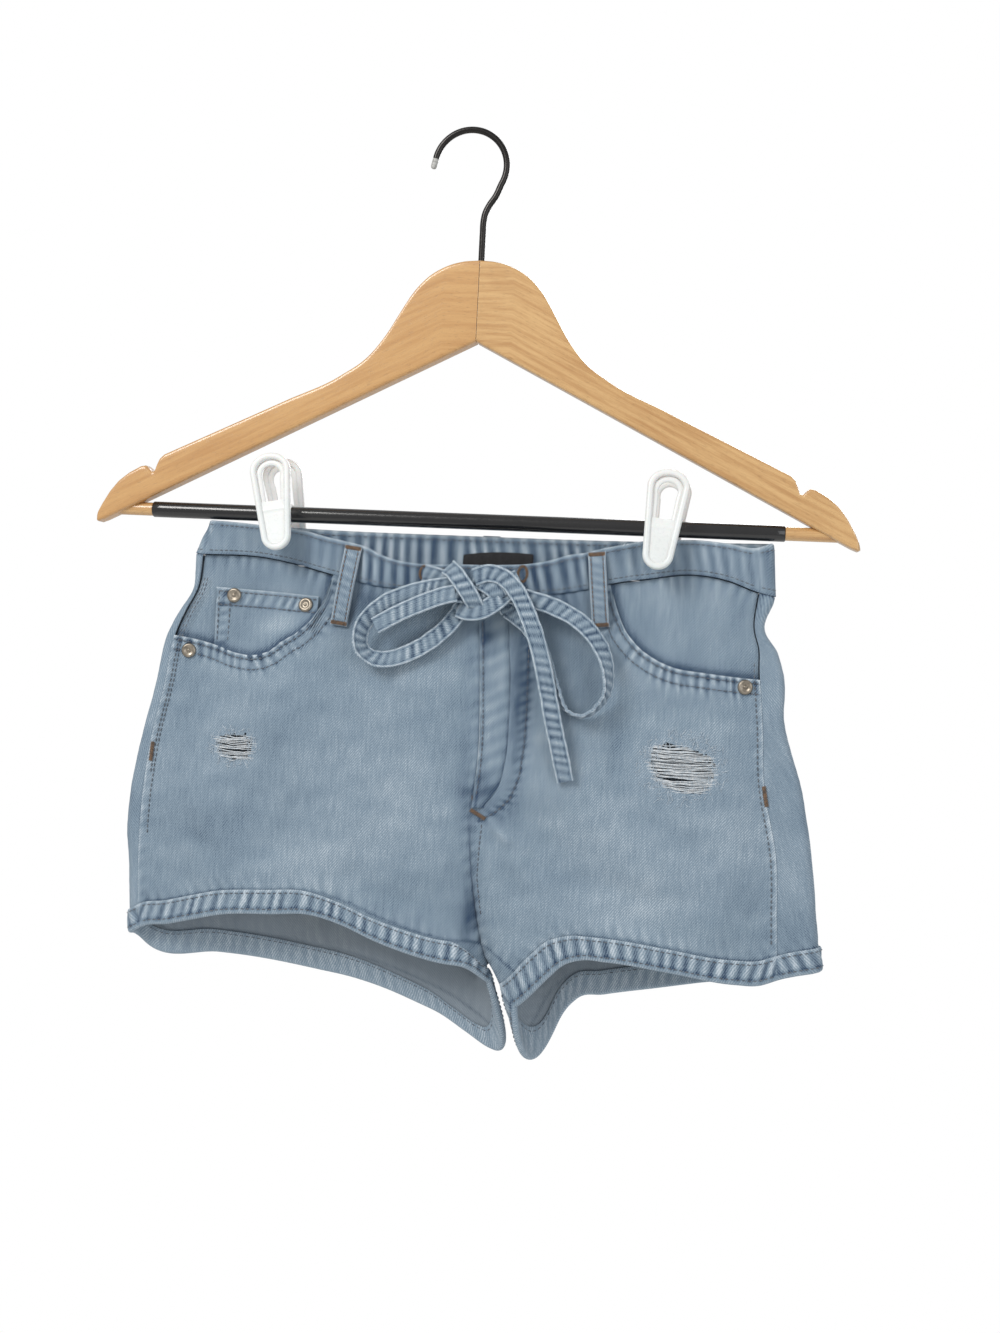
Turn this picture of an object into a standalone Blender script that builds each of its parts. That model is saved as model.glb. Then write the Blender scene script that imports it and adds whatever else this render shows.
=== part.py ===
"""Denim shorts with a drawstring, clipped to a wooden hanger.

The shorts hang nearly flat. Front faces -Y, left is -X, +Z is up. The origin is where a
rail bears on the underside of the hook. Tables are in millimetres in the hanger's own
frame: x from its shank, z from 76.5 mm above the top of the wood. place() moves them to
the part's frame, in metres.

Each panel is one surface of (s, v): s runs from its crotch seam (0) to its side seam (1),
v from the waist seam (0) to the hem (1). It has three runs: an inner run from the crotch
seam, a cubic between two points and two directions; the face, which lies at the depth of
the flattened garment; and, on the back panels, the wrap round the side fold.
"""

import math

import bmesh
import bpy
import numpy as np
from mathutils import Matrix, Vector

for old in list(bpy.data.objects):
    bpy.data.objects.remove(old, do_unlink=True)

# ---------------------------------------------------------------- driving dimensions, mm
SHANK_X, TABLE_Z = 9.0, 2.2  # the tables' origin, seen from the hook's bearing point
DENIM = 1.2  # one layer of denim
BAND = 2.4  # waistband: two layers
GAP = 0.3  # clearance between sewn pieces
HEM_HEIGHT = 12.0
HEM_CELLS = 2  # rows of faces up a hem band
CROTCH_CLEAR = 2.0  # more clearance where four panels meet
INNER_LENGTH, WRAP_LENGTH, FRONT_LENGTH = 30.0, 12.0, 200.0  # usual lengths of a panel's runs
DROP = 215.0  # usual length of a panel from the waist seam to its hem
LOOP_WIDTH = 10.0
STRAP_WIDTH, STRAP_THICK = 10.0, 2.0
RIVET_RADIUS, RIVET_HEIGHT = 4.3, 1.5

WIRE_RADIUS = 1.85
HOOK_RADIUS = 21.0  # of the wire's centre line
HOOK_CENTRE = (-9.0, -21.3)
WOOD_TOP, WOOD_DEPTH = -76.5, 12.0
BAR_Z, BAR_RADIUS = -226.2, 4.6
DOWEL_RADIUS = 3.9
SLEEVE_ENDS = (-188.5, 180.7)
DOWEL_END = 211.0

INNER, FACE = 0.2, 0.86  # s where the inner run ends, and where a back panel's wrap begins
CROTCH_V = 0.88  # the crotch point, where all four panels meet
INSEAM_END = {-1: (25.0, 1.0, -489.0), 1: (42.0, -9.0, -500.0)}

DENIM_BLUE = (0.27, 0.36, 0.45)
COLOURS = {
    "denim": (DENIM_BLUE, 0.9, 0.0),
    "denim_dark": ((0.15, 0.22, 0.32), 0.9, 0.0),
    "label_black": ((0.015, 0.015, 0.018), 0.7, 0.0),
    "rivet_metal": ((0.45, 0.40, 0.33), 0.4, 1.0),
    "beech": ((0.72, 0.46, 0.22), 0.35, 0.0),
    "hook_metal": ((0.03, 0.03, 0.03), 0.25, 1.0),
    "black_sleeve": ((0.012, 0.012, 0.012), 0.3, 0.0),
    "white_plastic": ((0.85, 0.85, 0.84), 0.3, 0.0),
}


def table(names, *rows):
    """Rows of numbers as named columns."""
    return dict(zip(names.split(), np.array(rows, float).T))


# Sections of the flattened garment: silhouette x on both sides, cloth length from the fold
# to the side seam, fold radius, depth in front and behind, and how far in from the fold the
# two faces still lie together before they part over a further growth.
SECTIONS = table(
    "v left right seam_left seam_right fold front back together growth",
    (0.00, -160.0, 176.0, 6.0, 10.0, 3.2, 14.0, 5.0, 46.0, 110.0),
    (0.10, -162.0, 171.5, 5.0, 7.0, 3.3, 14.5, 6.5, 36.0, 105.0),
    (0.15, -168.5, 178.5, 6.0, 11.0, 3.4, 15.0, 7.5, 30.0, 100.0),
    (0.20, -174.0, 182.5, 7.0, 14.5, 3.6, 15.5, 8.5, 25.0, 98.0),
    (0.35, -181.0, 185.0, 8.5, 14.0, 4.0, 17.0, 12.0, 10.0, 95.0),
    (0.50, -188.5, 195.0, 10.0, 22.0, 4.4, 17.0, 15.0, 2.0, 90.0),
    (0.70, -194.0, 203.5, 12.0, 22.0, 5.0, 17.0, 18.0, 0.0, 80.0),
    (0.85, -191.5, 207.5, 10.0, 24.5, 5.5, 16.0, 19.5, 0.0, 72.0),
    (1.00, -189.0, 211.5, 10.0, 27.0, 6.0, 16.0, 20.0, 0.0, 66.0),
)
WAIST_FRONT = table(
    "x z",
    (-160, -251.5), (-118, -252), (-100, -255), (-85, -258.5), (-70, -262), (-50, -266),
    (-25, -267.5), (35, -267.5), (55, -266), (70, -263), (86, -258.5), (105, -255),
    (130, -251.5), (150, -254), (166, -259.5), (176, -262),
)
WAIST_BACK = table(
    "x z",
    (-160, -251.5), (-130, -254), (-90, -256), (100, -256), (150, -257), (176, -262),
)
HEM_FRONT = table(
    "x z",
    (-189, -475), (-181, -470), (-165, -467), (-150, -463), (-130, -458), (-100, -455.5),
    (-78, -454.5), (-60, -459), (-40, -467), (-20, -473), (0, -477), (14, -478),
    (50, -491), (60, -481), (67, -474), (78, -469.5), (92, -469.5), (130, -473),
    (165, -477), (178, -477), (190, -473), (211.5, -468),
)
HEM_BACK = table(
    "x z",
    (-189, -475), (-181, -482), (-140, -485.5), (-110, -488), (-80, -492), (-60, -495),
    (-40, -500), (-20, -507), (-5, -513), (10, -522), (26, -531), (60, -522), (66, -508),
    (74, -498), (90, -494), (120, -488), (150, -482), (180, -477), (211.5, -468),
)
# Centre seams from the waist to the crotch point.
CENTRE_FRONT = table(
    "v x y z",
    (0.00, 10.5, -14.0, -267.5), (0.20, 13.0, -15.3, -313.0), (0.40, 14.5, -16.7, -359.0),
    (0.55, 12.5, -16.5, -393.0), (0.70, 14.5, -13.0, -428.0), (0.80, 18.0, -7.0, -454.0),
    (0.88, 22.0, 0.0, -474.0),
)
CENTRE_BACK = table(
    "v x y z",
    (0.00, 13.0, 5.0, -256.0), (0.25, 13.5, 10.0, -318.0), (0.50, 15.0, 15.0, -385.0),
    (0.70, 18.0, 18.0, -440.0), (0.80, 22.0, 15.5, -470.0), (0.85, 24.0, 8.0, -480.0),
    (0.88, 22.0, 0.0, -474.0),
)
# Each panel's inner run: x where its face begins, the direction in which the cloth leaves
# the crotch seam, and the length of that direction's pull.
RUNS = {
    ("front", -1): table(
        "v start x y z pull",
        (0.00, -14, -1, 0, 0, 24), (0.55, -12, -1, 0, 0, 24), (0.70, -12, -1, -0.8, 0, 26),
        (0.80, -8, -0.6, -1, 0, 26), (0.88, -3, -0.5, -1, 0.1, 28), (1.00, 6, -0.8, -0.8, 0.6, 32),
    ),
    ("front", 1): table(
        "v start x y z pull",
        (0.00, 35, 1, 0, 0, 24), (0.55, 36, 1, 0, 0, 24), (0.70, 38, 1, -0.8, 0, 26),
        (0.80, 40, 0.6, -1, 0, 26), (0.88, 43, 0.4, -1, 0, 28), (1.00, 60, 0.9, -0.6, 0.7, 26),
    ),
    ("back", -1): table(
        "v start x y z pull",
        (0.00, -14, -1, 0, 0, 26), (0.50, -12, -1, 0, 0, 26), (0.70, -10, -1, 0.3, -0.2, 28),
        (0.80, -4, -0.7, 0.8, -0.3, 30), (0.88, 6, -0.1, 1, -0.6, 34), (1.00, 26, 0.3, 0.4, -1, 48),
    ),
    ("back", 1): table(
        "v start x y z pull",
        (0.00, 40, 1, 0, 0, 26), (0.50, 42, 1, 0, 0, 26), (0.70, 44, 1, 0.3, -0.2, 28),
        (0.80, 49, 0.7, 0.8, -0.3, 32), (0.88, 55, 0.2, 1, -0.6, 42), (1.00, 62, 0.05, 0.15, -1, 96),
    ),
}
# The largest soft folds, as ridges (+) or troughs (-) along a line on one face.
FOLDS = table(
    "back x0 z0 x1 z1 width height",
    (0, -152, -318, -100, -400, 26, -2.4), (0, -118, -330, -78, -420, 24, 2.2),
    (0, -66, -330, -20, -440, 24, -1.8), (0, -30, -300, 2, -420, 18, 1.6),
    (0, -150, -395, -110, -450, 18, 1.8), (0, -60, -400, -84, -455, 22, 1.4),
    (0, 26, -398, 64, -452, 12, 2.6), (0, 34, -392, 105, -440, 14, -2.2),
    (0, 60, -372, 150, -446, 16, 2.2), (0, 104, -330, 96, -400, 20, -1.8),
    (0, 150, -330, 166, -430, 22, 1.8), (0, 55, -300, 62, -370, 18, 1.6),
    (1, -120, -290, -80, -420, 28, 2.6), (1, -60, -290, -20, -440, 24, -2.4),
    (1, 70, -290, 46, -440, 24, -2.4), (1, 120, -300, 100, -440, 28, 2.4),
    (1, -150, -330, -120, -460, 22, -2.0), (1, 160, -330, 140, -450, 22, -2.0),
)
BAND_TOP_FRONT = table(
    "x z",
    (-152, -231.6), (-140, -232), (-118, -233.6), (-93, -236), (-83, -238.5), (-70, -241),
    (-57, -244), (-48, -248), (-38, -251), (-26, -252.5), (0, -252), (22, -251.3),
    (38, -250), (50, -247.5), (60, -244), (70, -242), (80, -239), (90, -236.5), (100, -234.2),
    (118, -232.6), (130, -232), (150, -233.3), (165, -235), (173.5, -232),
)
BAND_TOP_BACK = table(
    "x z", (-152, -231.6), (-120, -233), (-97, -233.8), (0, -234.2), (90, -233.8), (173.5, -232)
)
BAND_TOP_SPAN = {-1: -152.0, 1: 173.5}  # silhouette of the band's top edge
BAND_MIDDLE_X = 12.0
BAND_LEAN_OUT = 1.06  # the top edge stands a little further from the middle than the seam

POCKET_MOUTH = {
    -1: table(
        "x z",
        (-176, -299), (-168, -300), (-158, -301.5), (-145, -304.5), (-132, -308.5), (-118, -309),
        (-110, -306), (-104, -301), (-95, -295), (-86, -285.5), (-80.5, -275), (-77, -262),
    ),
    1: table(
        "x z",
        (84, -258), (87, -268), (92, -281), (100, -292), (110, -299.5), (122, -304.5),
        (137, -306.5), (155, -308), (176, -309),
    ),
}
FACING_BELOW = 16.0  # how far a facing runs on under the pocket mouth
COIN_TOP = table("x z", (-146, -270.5), (-120, -271.5), (-84, -273.5))
FLY_EDGE = table("z x", (-388, 20), (-378, 27), (-362, 31), (-345, 32), (-310, 31), (-268, 27))

# name, side, x, z of each rivet
RIVETS = (
    ("coin_outer", -1, -135.5, -275.0),
    ("coin_inner", -1, -91.5, -279.0),
    ("mouth_left", -1, -161.5, -308.5),
    ("mouth_right", 1, 162.5, -313.5),
)
# name, x and z of the top end, x and z of the bottom end
FRONT_LOOPS = (("left", -64.0, -243.5, -70.0, -290.0), ("right", 76.0, -241.5, 80.5, -284.0))

# Drawstring, a flat strap: points along its middle, and the turn of its width out of the
# plane of the front, in degrees.
STRAPS = {
    "lead_left": (
        (-21.0, -17.7, -257.8, 0), (-14.0, -19.8, -259.2, 0), (-6.0, -21.8, -261.5, 0),
        (1.0, -22.9, -264.2, 0),
    ),
    "lead_right": (
        (33.0, -17.7, -258.2, 0), (29.5, -19.8, -260.5, 0), (25.0, -21.9, -263.5, 0),
    ),
    "loop_left": (
        (1.0, -26.5, -264.0, 0), (-12.0, -27.3, -266.0, 0), (-28.0, -28.0, -270.5, 0),
        (-42.0, -28.2, -277.5, 10), (-52.5, -27.5, -289.0, 25), (-54.0, -25.5, -301.0, 45),
        (-47.0, -23.0, -307.5, 30), (-35.0, -22.3, -307.0, 10), (-20.0, -22.0, -300.0, 0),
        (-7.0, -22.0, -289.5, 0), (1.0, -22.3, -279.5, 0),
    ),
    "tail_left": (
        (0.0, -31.0, -269.0, 0), (-9.0, -31.6, -271.5, 0), (-22.0, -32.0, -277.0, 0),
        (-34.0, -31.6, -283.0, 0), (-45.0, -31.0, -289.5, 0),
    ),
    "loop_right": (
        (26.5, -24.5, -268.0, 0), (40.0, -25.5, -270.0, 0), (56.0, -26.5, -274.5, 5),
        (71.0, -27.0, -282.5, 15), (82.0, -27.5, -295.0, 30), (87.0, -27.5, -309.0, 55),
        (86.0, -26.5, -323.0, 75), (76.0, -25.5, -333.5, 82), (65.0, -24.5, -331.5, 80),
        (57.5, -24.5, -318.0, 60), (50.0, -23.0, -300.0, 40), (41.0, -21.8, -286.0, 15),
        (29.0, -22.3, -277.0, 0),
    ),
    "tail_right": (
        (10.0, -31.0, -259.8, 0), (18.0, -31.5, -257.2, 0), (27.0, -31.8, -259.5, 0),
        (35.0, -32.2, -267.5, 0), (41.0, -32.4, -278.5, 5), (46.5, -32.4, -292.0, 12),
        (51.0, -32.0, -307.0, 15), (54.5, -31.0, -322.0, 15), (58.0, -29.5, -338.0, 10),
        (62.0, -27.0, -354.0, 5), (66.0, -24.0, -371.0, 0),
    ),
}
KNOT_CENTRE, KNOT_SIZE = (13.0, -25.2, -268.6), (21.0, 9.4, 17.0)

# name, x and z of the head, x and z of the jaw's tip
CLIPS = (("left", -117.0, -191.5, -106.8, -248.5), ("right", 115.8, -193.0, 110.0, -250.5))
CLIP_HEAD, CLIP_TIP = 24.0, 17.5  # widths
CLIP_THICK = 3.2
CLIP_SLOPE = 7.0  # degrees, each jaw's lean away from the other
JAW_GRIP = 3.9  # from the middle plane to a jaw's inner face at its tip

SHOULDER = table(
    "x z",
    (0, -76.5), (10, -77.4), (20, -80.6), (30, -87.0), (38, -96.0), (45, -107.5),
    (52, -119.5), (61, -131.5), (78, -144.5), (110, -160.0), (150, -178.9), (182, -194.0),
)


# ------------------------------------------------------------------- the cloth's surfaces
def ease(at, xs, ys):
    """A cubic through a table's points, level beyond its ends."""
    at = np.clip(at, xs[0], xs[-1])
    slope = np.gradient(ys, xs)
    k = np.clip(np.searchsorted(xs, at) - 1, 0, len(xs) - 2)
    span = xs[k + 1] - xs[k]
    t = (at - xs[k]) / span
    held = (2 * t**3 - 3 * t**2 + 1) * ys[k] + (3 * t**2 - 2 * t**3) * ys[k + 1]
    return held + span * ((t**3 - 2 * t**2 + t) * slope[k] + (t**3 - t**2) * slope[k + 1])


def smooth(t):
    """0 to 1 with level ends."""
    t = np.clip(t, 0, 1)
    return t * t * (3 - 2 * t)


def level(name, v):
    return ease(v, SECTIONS["v"], SECTIONS[name])


def silhouette(side, v):
    return level("left" if side < 0 else "right", v)


def depth(face, reach, v):
    """Distance from the middle plane at a cloth length reach in from the side fold: round
    the fold first, then the soft swell in which the two faces part."""
    radius = level("fold", v)
    round_fold = radius * np.sin(np.clip(reach / radius, 0, math.pi / 2))
    swell = smooth((reach - radius - level("together", v)) / level("growth", v))
    return round_fold + (level(face, v) - radius) * swell


def inward(reach, v):
    """Distance in from the silhouette at a cloth length reach from the side fold."""
    radius = level("fold", v)
    turned = radius * (1 - np.cos(np.clip(reach / radius, 0, math.pi / 2)))
    return turned + np.maximum(reach - radius * math.pi / 2, 0)


def reach_of(distance, v):
    """The cloth length whose distance in from the silhouette this is, past the round."""
    return distance + (math.pi / 2 - 1) * level("fold", v)


def seam_reach(side, v):
    return level("seam_left" if side < 0 else "seam_right", v)


def face_point(face, side, t, v):
    """The face and wrap of a panel. t is 0 to 1 over the face; on a back panel 1 to 2 goes
    on from the fold to the side seam."""
    start = ease(v, RUNS[face, side]["v"], RUNS[face, side]["start"])
    edge = silhouette(side, v)
    full = reach_of(np.abs(edge - start), v)
    if face == "front":
        reach = full + (seam_reach(side, v) - full) * t
        sign = -1.0
    else:
        reach = np.where(t <= 1, full * (1 - t), seam_reach(side, v) * (t - 1))
        sign = np.where(t <= 1, 1.0, -1.0)
    x = edge - side * inward(reach, v)
    deep = np.where(sign > 0, depth("back", reach, v), depth("front", reach, v))
    return x, sign * deep, sign


def face_surface(face, side, t, v):
    """face_point with its height: a straight rule from the waist seam to the hem."""
    x, y, sign = face_point(face, side, t, v)
    x_waist = face_point(face, side, t, np.zeros_like(v))[0]
    x_hem = face_point(face, side, t, np.ones_like(v))[0]
    behind = sign > 0
    waist = np.where(
        behind,
        ease(x_waist, WAIST_BACK["x"], WAIST_BACK["z"]),
        ease(x_waist, WAIST_FRONT["x"], WAIST_FRONT["z"]),
    )
    hem = np.where(
        behind,
        ease(x_hem, HEM_BACK["x"], HEM_BACK["z"]),
        ease(x_hem, HEM_FRONT["x"], HEM_FRONT["z"]),
    )
    return np.stack([x, y, waist + (hem - waist) * v], -1)


def crotch_seam(face, side, v):
    """The centre seam down to the crotch point, then the inseam."""
    rows = CENTRE_FRONT if face == "front" else CENTRE_BACK
    centre = np.stack([ease(v, rows["v"], rows[k]) for k in "xyz"], -1)
    crotch = np.array([rows[k][-1] for k in "xyz"])
    down = np.clip((v - CROTCH_V) / (1 - CROTCH_V), 0, 1)[..., None]
    inseam = crotch + (np.array(INSEAM_END[side]) - crotch) * down
    return np.where((v <= CROTCH_V)[..., None], centre, inseam)


def creases(points, back):
    """How far the largest folds stand out at these points."""
    total = np.zeros(points.shape[:-1])
    for k in range(len(FOLDS["x0"])):
        if bool(FOLDS["back"][k]) != back:
            continue
        a = np.array([FOLDS["x0"][k], FOLDS["z0"][k]])
        line = np.array([FOLDS["x1"][k], FOLDS["z1"][k]]) - a
        offset = points[..., [0, 2]] - a
        along = offset @ line / (line @ line)
        off = offset - np.clip(along, 0, 1)[..., None] * line
        apart = np.sqrt((off**2).sum(-1))
        total += FOLDS["height"][k] * np.exp(-((apart / FOLDS["width"][k]) ** 2))
    return total


def panel(face, side, s, v):
    """A panel's middle surface, in mm."""
    s, v = np.broadcast_arrays(np.asarray(s, float), np.asarray(v, float))
    if face == "front":
        t = (s - INNER) / (1 - INNER)
    else:
        t = np.where(s < FACE, (s - INNER) / (FACE - INNER), 1 + (s - FACE) / (1 - FACE))
    on_face = face_surface(face, side, np.clip(t, 0, 2), v)
    rows = RUNS[face, side]
    zero, step = np.zeros_like(v), np.full_like(v, 0.01)
    end = face_surface(face, side, zero, v)
    leaving = face_surface(face, side, step, v) - end
    pull = ease(v, rows["v"], rows["pull"])[..., None]
    leaving *= pull / np.linalg.norm(leaving, axis=-1, keepdims=True)
    aim = np.stack([ease(v, rows["v"], rows[k]) for k in "xyz"], -1)
    aim *= pull / np.linalg.norm(aim, axis=-1, keepdims=True)
    u = np.clip(s / INNER, 0, 1)[..., None]
    seam = crotch_seam(face, side, v)
    run = (2 * u**3 - 3 * u**2 + 1) * seam + (3 * u**2 - 2 * u**3) * end
    run += (u**3 - 2 * u**2 + u) * aim + (u**3 - u**2) * leaving
    points = np.where((s < INNER)[..., None], run, on_face)
    away = smooth(v / 0.12) * smooth(s / INNER) * smooth((1 - s) / 0.12)
    points[..., 1] += (1 if face == "back" else -1) * creases(points, face == "back") * away
    return points


def normal(face, side, s, v):
    """Unit normals, outwards. A panel and its neighbour share theirs along a seam, so that
    their edges are mitred."""
    s, v = np.broadcast_arrays(np.asarray(s, float), np.asarray(v, float))

    def plain(one_face, one_side, s, v):
        h = 1e-4
        s, v = np.clip(s, h, 1 - h), np.clip(v, h, 1 - h)
        ds = panel(one_face, one_side, s + h, v) - panel(one_face, one_side, s - h, v)
        dv = panel(one_face, one_side, s, v + h) - panel(one_face, one_side, s, v - h)
        out = np.cross(ds, dv) * one_side * (-1 if one_face == "front" else 1)
        return out / np.linalg.norm(out, axis=-1, keepdims=True)

    own = plain(face, side, s, v)
    other_face = "back" if face == "front" else "front"
    over_centre = plain(face, -side, s, v)
    over_seam = plain(other_face, side, s, v)
    beside = np.where((v < CROTCH_V)[..., None], over_centre, over_seam)
    both = np.where((s < 1e-6)[..., None], own + beside, own + over_seam)
    both /= np.linalg.norm(both, axis=-1, keepdims=True)
    shared = ((s < 1e-6) | (s > 1 - 1e-6))[..., None]
    return np.where(shared, both, own)


def band_point(face, u, h):
    """The waistband's middle surface. u is -1 to 1 from side seam to side seam, h 0 at the
    waist seam to 1 at the top edge."""
    u, h = np.broadcast_arrays(np.asarray(u, float), np.asarray(h, float))
    s = np.abs(u)
    below = np.where(
        (u < 0)[..., None], panel(face, -1, s, 0 * s), panel(face, 1, s, 0 * s)
    )
    top = below.copy()
    for side in (-1, 1):
        here = u < 0 if side < 0 else u >= 0
        reach = np.abs(BAND_TOP_SPAN[side] - BAND_MIDDLE_X)
        scale = reach / np.abs(silhouette(side, 0.0) - BAND_MIDDLE_X)
        x = BAND_MIDDLE_X + (below[..., 0] - BAND_MIDDLE_X) * scale
        top[..., 0] = np.where(here, x, top[..., 0])
    swell = 1 + (BAND_LEAN_OUT - 1) * smooth((np.abs(top[..., 1]) - 3.5) / 4)
    top[..., 1] *= swell
    front_z = ease(top[..., 0], BAND_TOP_FRONT["x"], BAND_TOP_FRONT["z"])
    back_z = ease(top[..., 0], BAND_TOP_BACK["x"], BAND_TOP_BACK["z"])
    top[..., 2] = np.where(top[..., 1] < 0, front_z, back_z)
    return below + (top - below) * h[..., None]


def band_normal(face, u, h):
    step = 1e-4
    u, h = np.broadcast_arrays(np.asarray(u, float), np.asarray(h, float))
    u, h = np.clip(u, step - 1, 1 - step), np.clip(h, step, 1 - step)
    du = band_point(face, u + step, h) - band_point(face, u - step, h)
    dh = band_point(face, u, h + step) - band_point(face, u, h - step)
    out = np.cross(du, dh) * (1 if face == "front" else -1)
    return out / np.linalg.norm(out, axis=-1, keepdims=True)


def find(face, side, x, z):
    """(s, v) of a panel's point that shows at (x, z), by Newton's method."""
    x, z = np.broadcast_arrays(np.asarray(x, float), np.asarray(z, float))
    s = INNER + (1 - INNER) * np.clip((x - 20 * side) / (side * 150), 0.02, 0.98)
    v = np.clip((-258 - z) / DROP, 0.02, 0.98)
    h = 1e-4
    for _ in range(12):
        here = panel(face, side, s, v)
        ds = (panel(face, side, s + h, v) - here) / h
        dv = (panel(face, side, s, v + h) - here) / h
        ex, ez = x - here[..., 0], z - here[..., 2]
        det = ds[..., 0] * dv[..., 2] - ds[..., 2] * dv[..., 0]
        s = np.clip(s + 0.8 * (ex * dv[..., 2] - ez * dv[..., 0]) / det, 0.001, 0.999)
        v = np.clip(v + 0.8 * (ds[..., 0] * ez - ds[..., 2] * ex) / det, 0.0, 0.999)
    return s, v


def mouth_level(side, s):
    """v at which the pocket mouth crosses each column s, 0 where it doesn't."""
    rows = POCKET_MOUTH[side]
    v = np.full_like(s, 0.1)
    for _ in range(30):
        here = panel("front", side, s, v)
        mouth = ease(here[..., 0], rows["x"], rows["z"])
        top = ease(here[..., 0], WAIST_FRONT["x"], WAIST_FRONT["z"])
        v = np.clip(v + 0.6 * (here[..., 2] - np.minimum(mouth, top)) / DROP, 0, 0.6)
    x = panel("front", side, s, v)[..., 0]
    outside = x < rows["x"][-1] if side < 0 else x > rows["x"][0]
    return np.where(outside, v, 0.0)


# ----------------------------------------------------------------------- mesh and objects
def place(points):
    """From the tables' frame in mm to the part's frame in metres."""
    return (np.asarray(points, float) + (SHANK_X, 0.0, TABLE_Z)) * 0.001


def material(name):
    found = bpy.data.materials.get(name)
    if found:
        return found
    colour, roughness, metallic = COLOURS[name]
    made = bpy.data.materials.new(name)
    made.use_nodes = True
    shader = made.node_tree.nodes["Principled BSDF"]
    shader.inputs["Base Color"].default_value = (*colour, 1.0)
    shader.inputs["Roughness"].default_value = roughness
    shader.inputs["Metallic"].default_value = metallic
    made.diffuse_color = (*colour, 1.0)
    return made


def collection(name):
    made = bpy.data.collections.new(name)
    bpy.context.scene.collection.children.link(made)
    return made


PARTS = collection("denim_shorts")
CUTTERS = collection("cutters")


def add(name, data, finish, where=PARTS):
    made = bpy.data.objects.new(name, data)
    where.objects.link(made)
    if finish:
        data.materials.append(material(finish))
    return made


def as_cutter(cutter):
    cutter.hide_render = True
    cutter.display_type = "WIRE"
    return cutter


def shell(name, outer, inner, finish, closed=False):
    """A wall between two like grids of points. closed joins its last row to its first."""
    rows, columns = outer.shape[:2]
    points = np.concatenate([outer.reshape(-1, 3), inner.reshape(-1, 3)])
    count = rows * columns
    faces = []
    row_pairs = [(i, (i + 1) % rows) for i in range(rows if closed else rows - 1)]
    for i, k in row_pairs:
        for j in range(columns - 1):
            a, b = i * columns + j, i * columns + j + 1
            c, d = k * columns + j + 1, k * columns + j
            faces += [(a, b, c, d), (d + count, c + count, b + count, a + count)]
    for i, k in row_pairs:
        for j in (0, columns - 1):
            a, b = i * columns + j, k * columns + j
            faces.append((a, b, b + count, a + count) if j == 0 else (b, a, a + count, b + count))
    if not closed:
        for j in range(columns - 1):
            for i in (0, rows - 1):
                a, b = i * columns + j, i * columns + j + 1
                faces.append((b, a, a + count, b + count) if i == 0 else (a, b, b + count, a + count))
    mesh = bpy.data.meshes.new(name)
    mesh.from_pydata([tuple(p) for p in place(points)], [], faces)
    solid = bmesh.new()
    solid.from_mesh(mesh)
    bmesh.ops.recalc_face_normals(solid, faces=solid.faces)
    solid.to_mesh(mesh)
    solid.free()
    mesh.shade_smooth()
    mesh.set_sharp_from_angle(angle=math.radians(40))
    return add(name, mesh, finish)


def cloth(name, points, normals, finish="denim", thick=DENIM, lift=0.0):
    """A wall of cloth on a middle surface, moved out by lift."""
    outer = points + normals * (lift + thick / 2)
    inner = points + normals * (lift - thick / 2)
    return shell(name, outer, inner, finish)


def turned(name, profile, finish, at, axis, steps=12):
    """A profile of (radius, height) down its outer side, turned about an axis at a place."""
    mesh = bpy.data.meshes.new(name)
    points = [(r, 0.0, h) for r, h in np.array(profile) * 0.001]
    mesh.from_pydata(points, [(k, k + 1) for k in range(len(points) - 1)], [])
    made = add(name, mesh, finish)
    screw = made.modifiers.new("Turn", "SCREW")
    screw.steps = screw.render_steps = steps
    screw.use_merge_vertices = True
    screw.merge_threshold = 0.00001
    made.location = place(at)
    made.rotation_mode = "QUATERNION"
    made.rotation_quaternion = Vector(axis).to_track_quat("Z", "Y")
    return made


def wire(name, points, radius, finish, resolution=2):
    """A round wire along points."""
    curve = bpy.data.curves.new(name, "CURVE")
    curve.dimensions = "3D"
    curve.bevel_depth = radius * 0.001
    curve.bevel_resolution = resolution
    curve.use_fill_caps = True
    spline = curve.splines.new("POLY")
    spline.points.add(len(points) - 1)
    for point, where in zip(spline.points, place(points)):
        point.co = (*where, 1.0)
    return add(name, curve, finish)


def outline(name, points, depth_mm, finish, edge=1.5, where=PARTS):
    """A flat outline in x and z, extruded along y, as a mesh with rounded edges."""
    curve = bpy.data.curves.new(name, "CURVE")
    curve.dimensions = "2D"
    curve.fill_mode = "BOTH"
    curve.extrude = (depth_mm / 2 - edge) * 0.001
    curve.bevel_depth = edge * 0.001
    curve.bevel_resolution = 1 if edge else 0
    curve.offset = -edge * 0.001
    spline = curve.splines.new("POLY")
    spline.points.add(len(points) - 1)
    for point, (x, z) in zip(spline.points, points):
        point.co = (x * 0.001, z * 0.001, 0.0, 1.0)
    spline.use_cyclic_u = True
    drawn = bpy.data.objects.new(name, curve)
    PARTS.objects.link(drawn)
    bpy.context.view_layer.update()
    mesh = bpy.data.meshes.new_from_object(drawn.evaluated_get(bpy.context.evaluated_depsgraph_get()))
    bpy.data.objects.remove(drawn)
    solid = bmesh.new()
    solid.from_mesh(mesh)
    bmesh.ops.remove_doubles(solid, verts=solid.verts, dist=1e-6)
    bmesh.ops.recalc_face_normals(solid, faces=solid.faces)
    solid.to_mesh(mesh)
    solid.free()
    mesh.materials.clear()
    mesh.transform(Matrix.Rotation(math.pi / 2, 4, "X"))
    return add(name, mesh, finish, where)


# ------------------------------------------------------------------------ sewn-on pieces
def stations(*runs):
    """Numbers from runs of (from, to, cells), each run's end being the next one's start."""
    parts = [np.linspace(a, b, n + 1)[:-1] for a, b, n in runs]
    return np.append(np.concatenate(parts), runs[-1][1])


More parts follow.
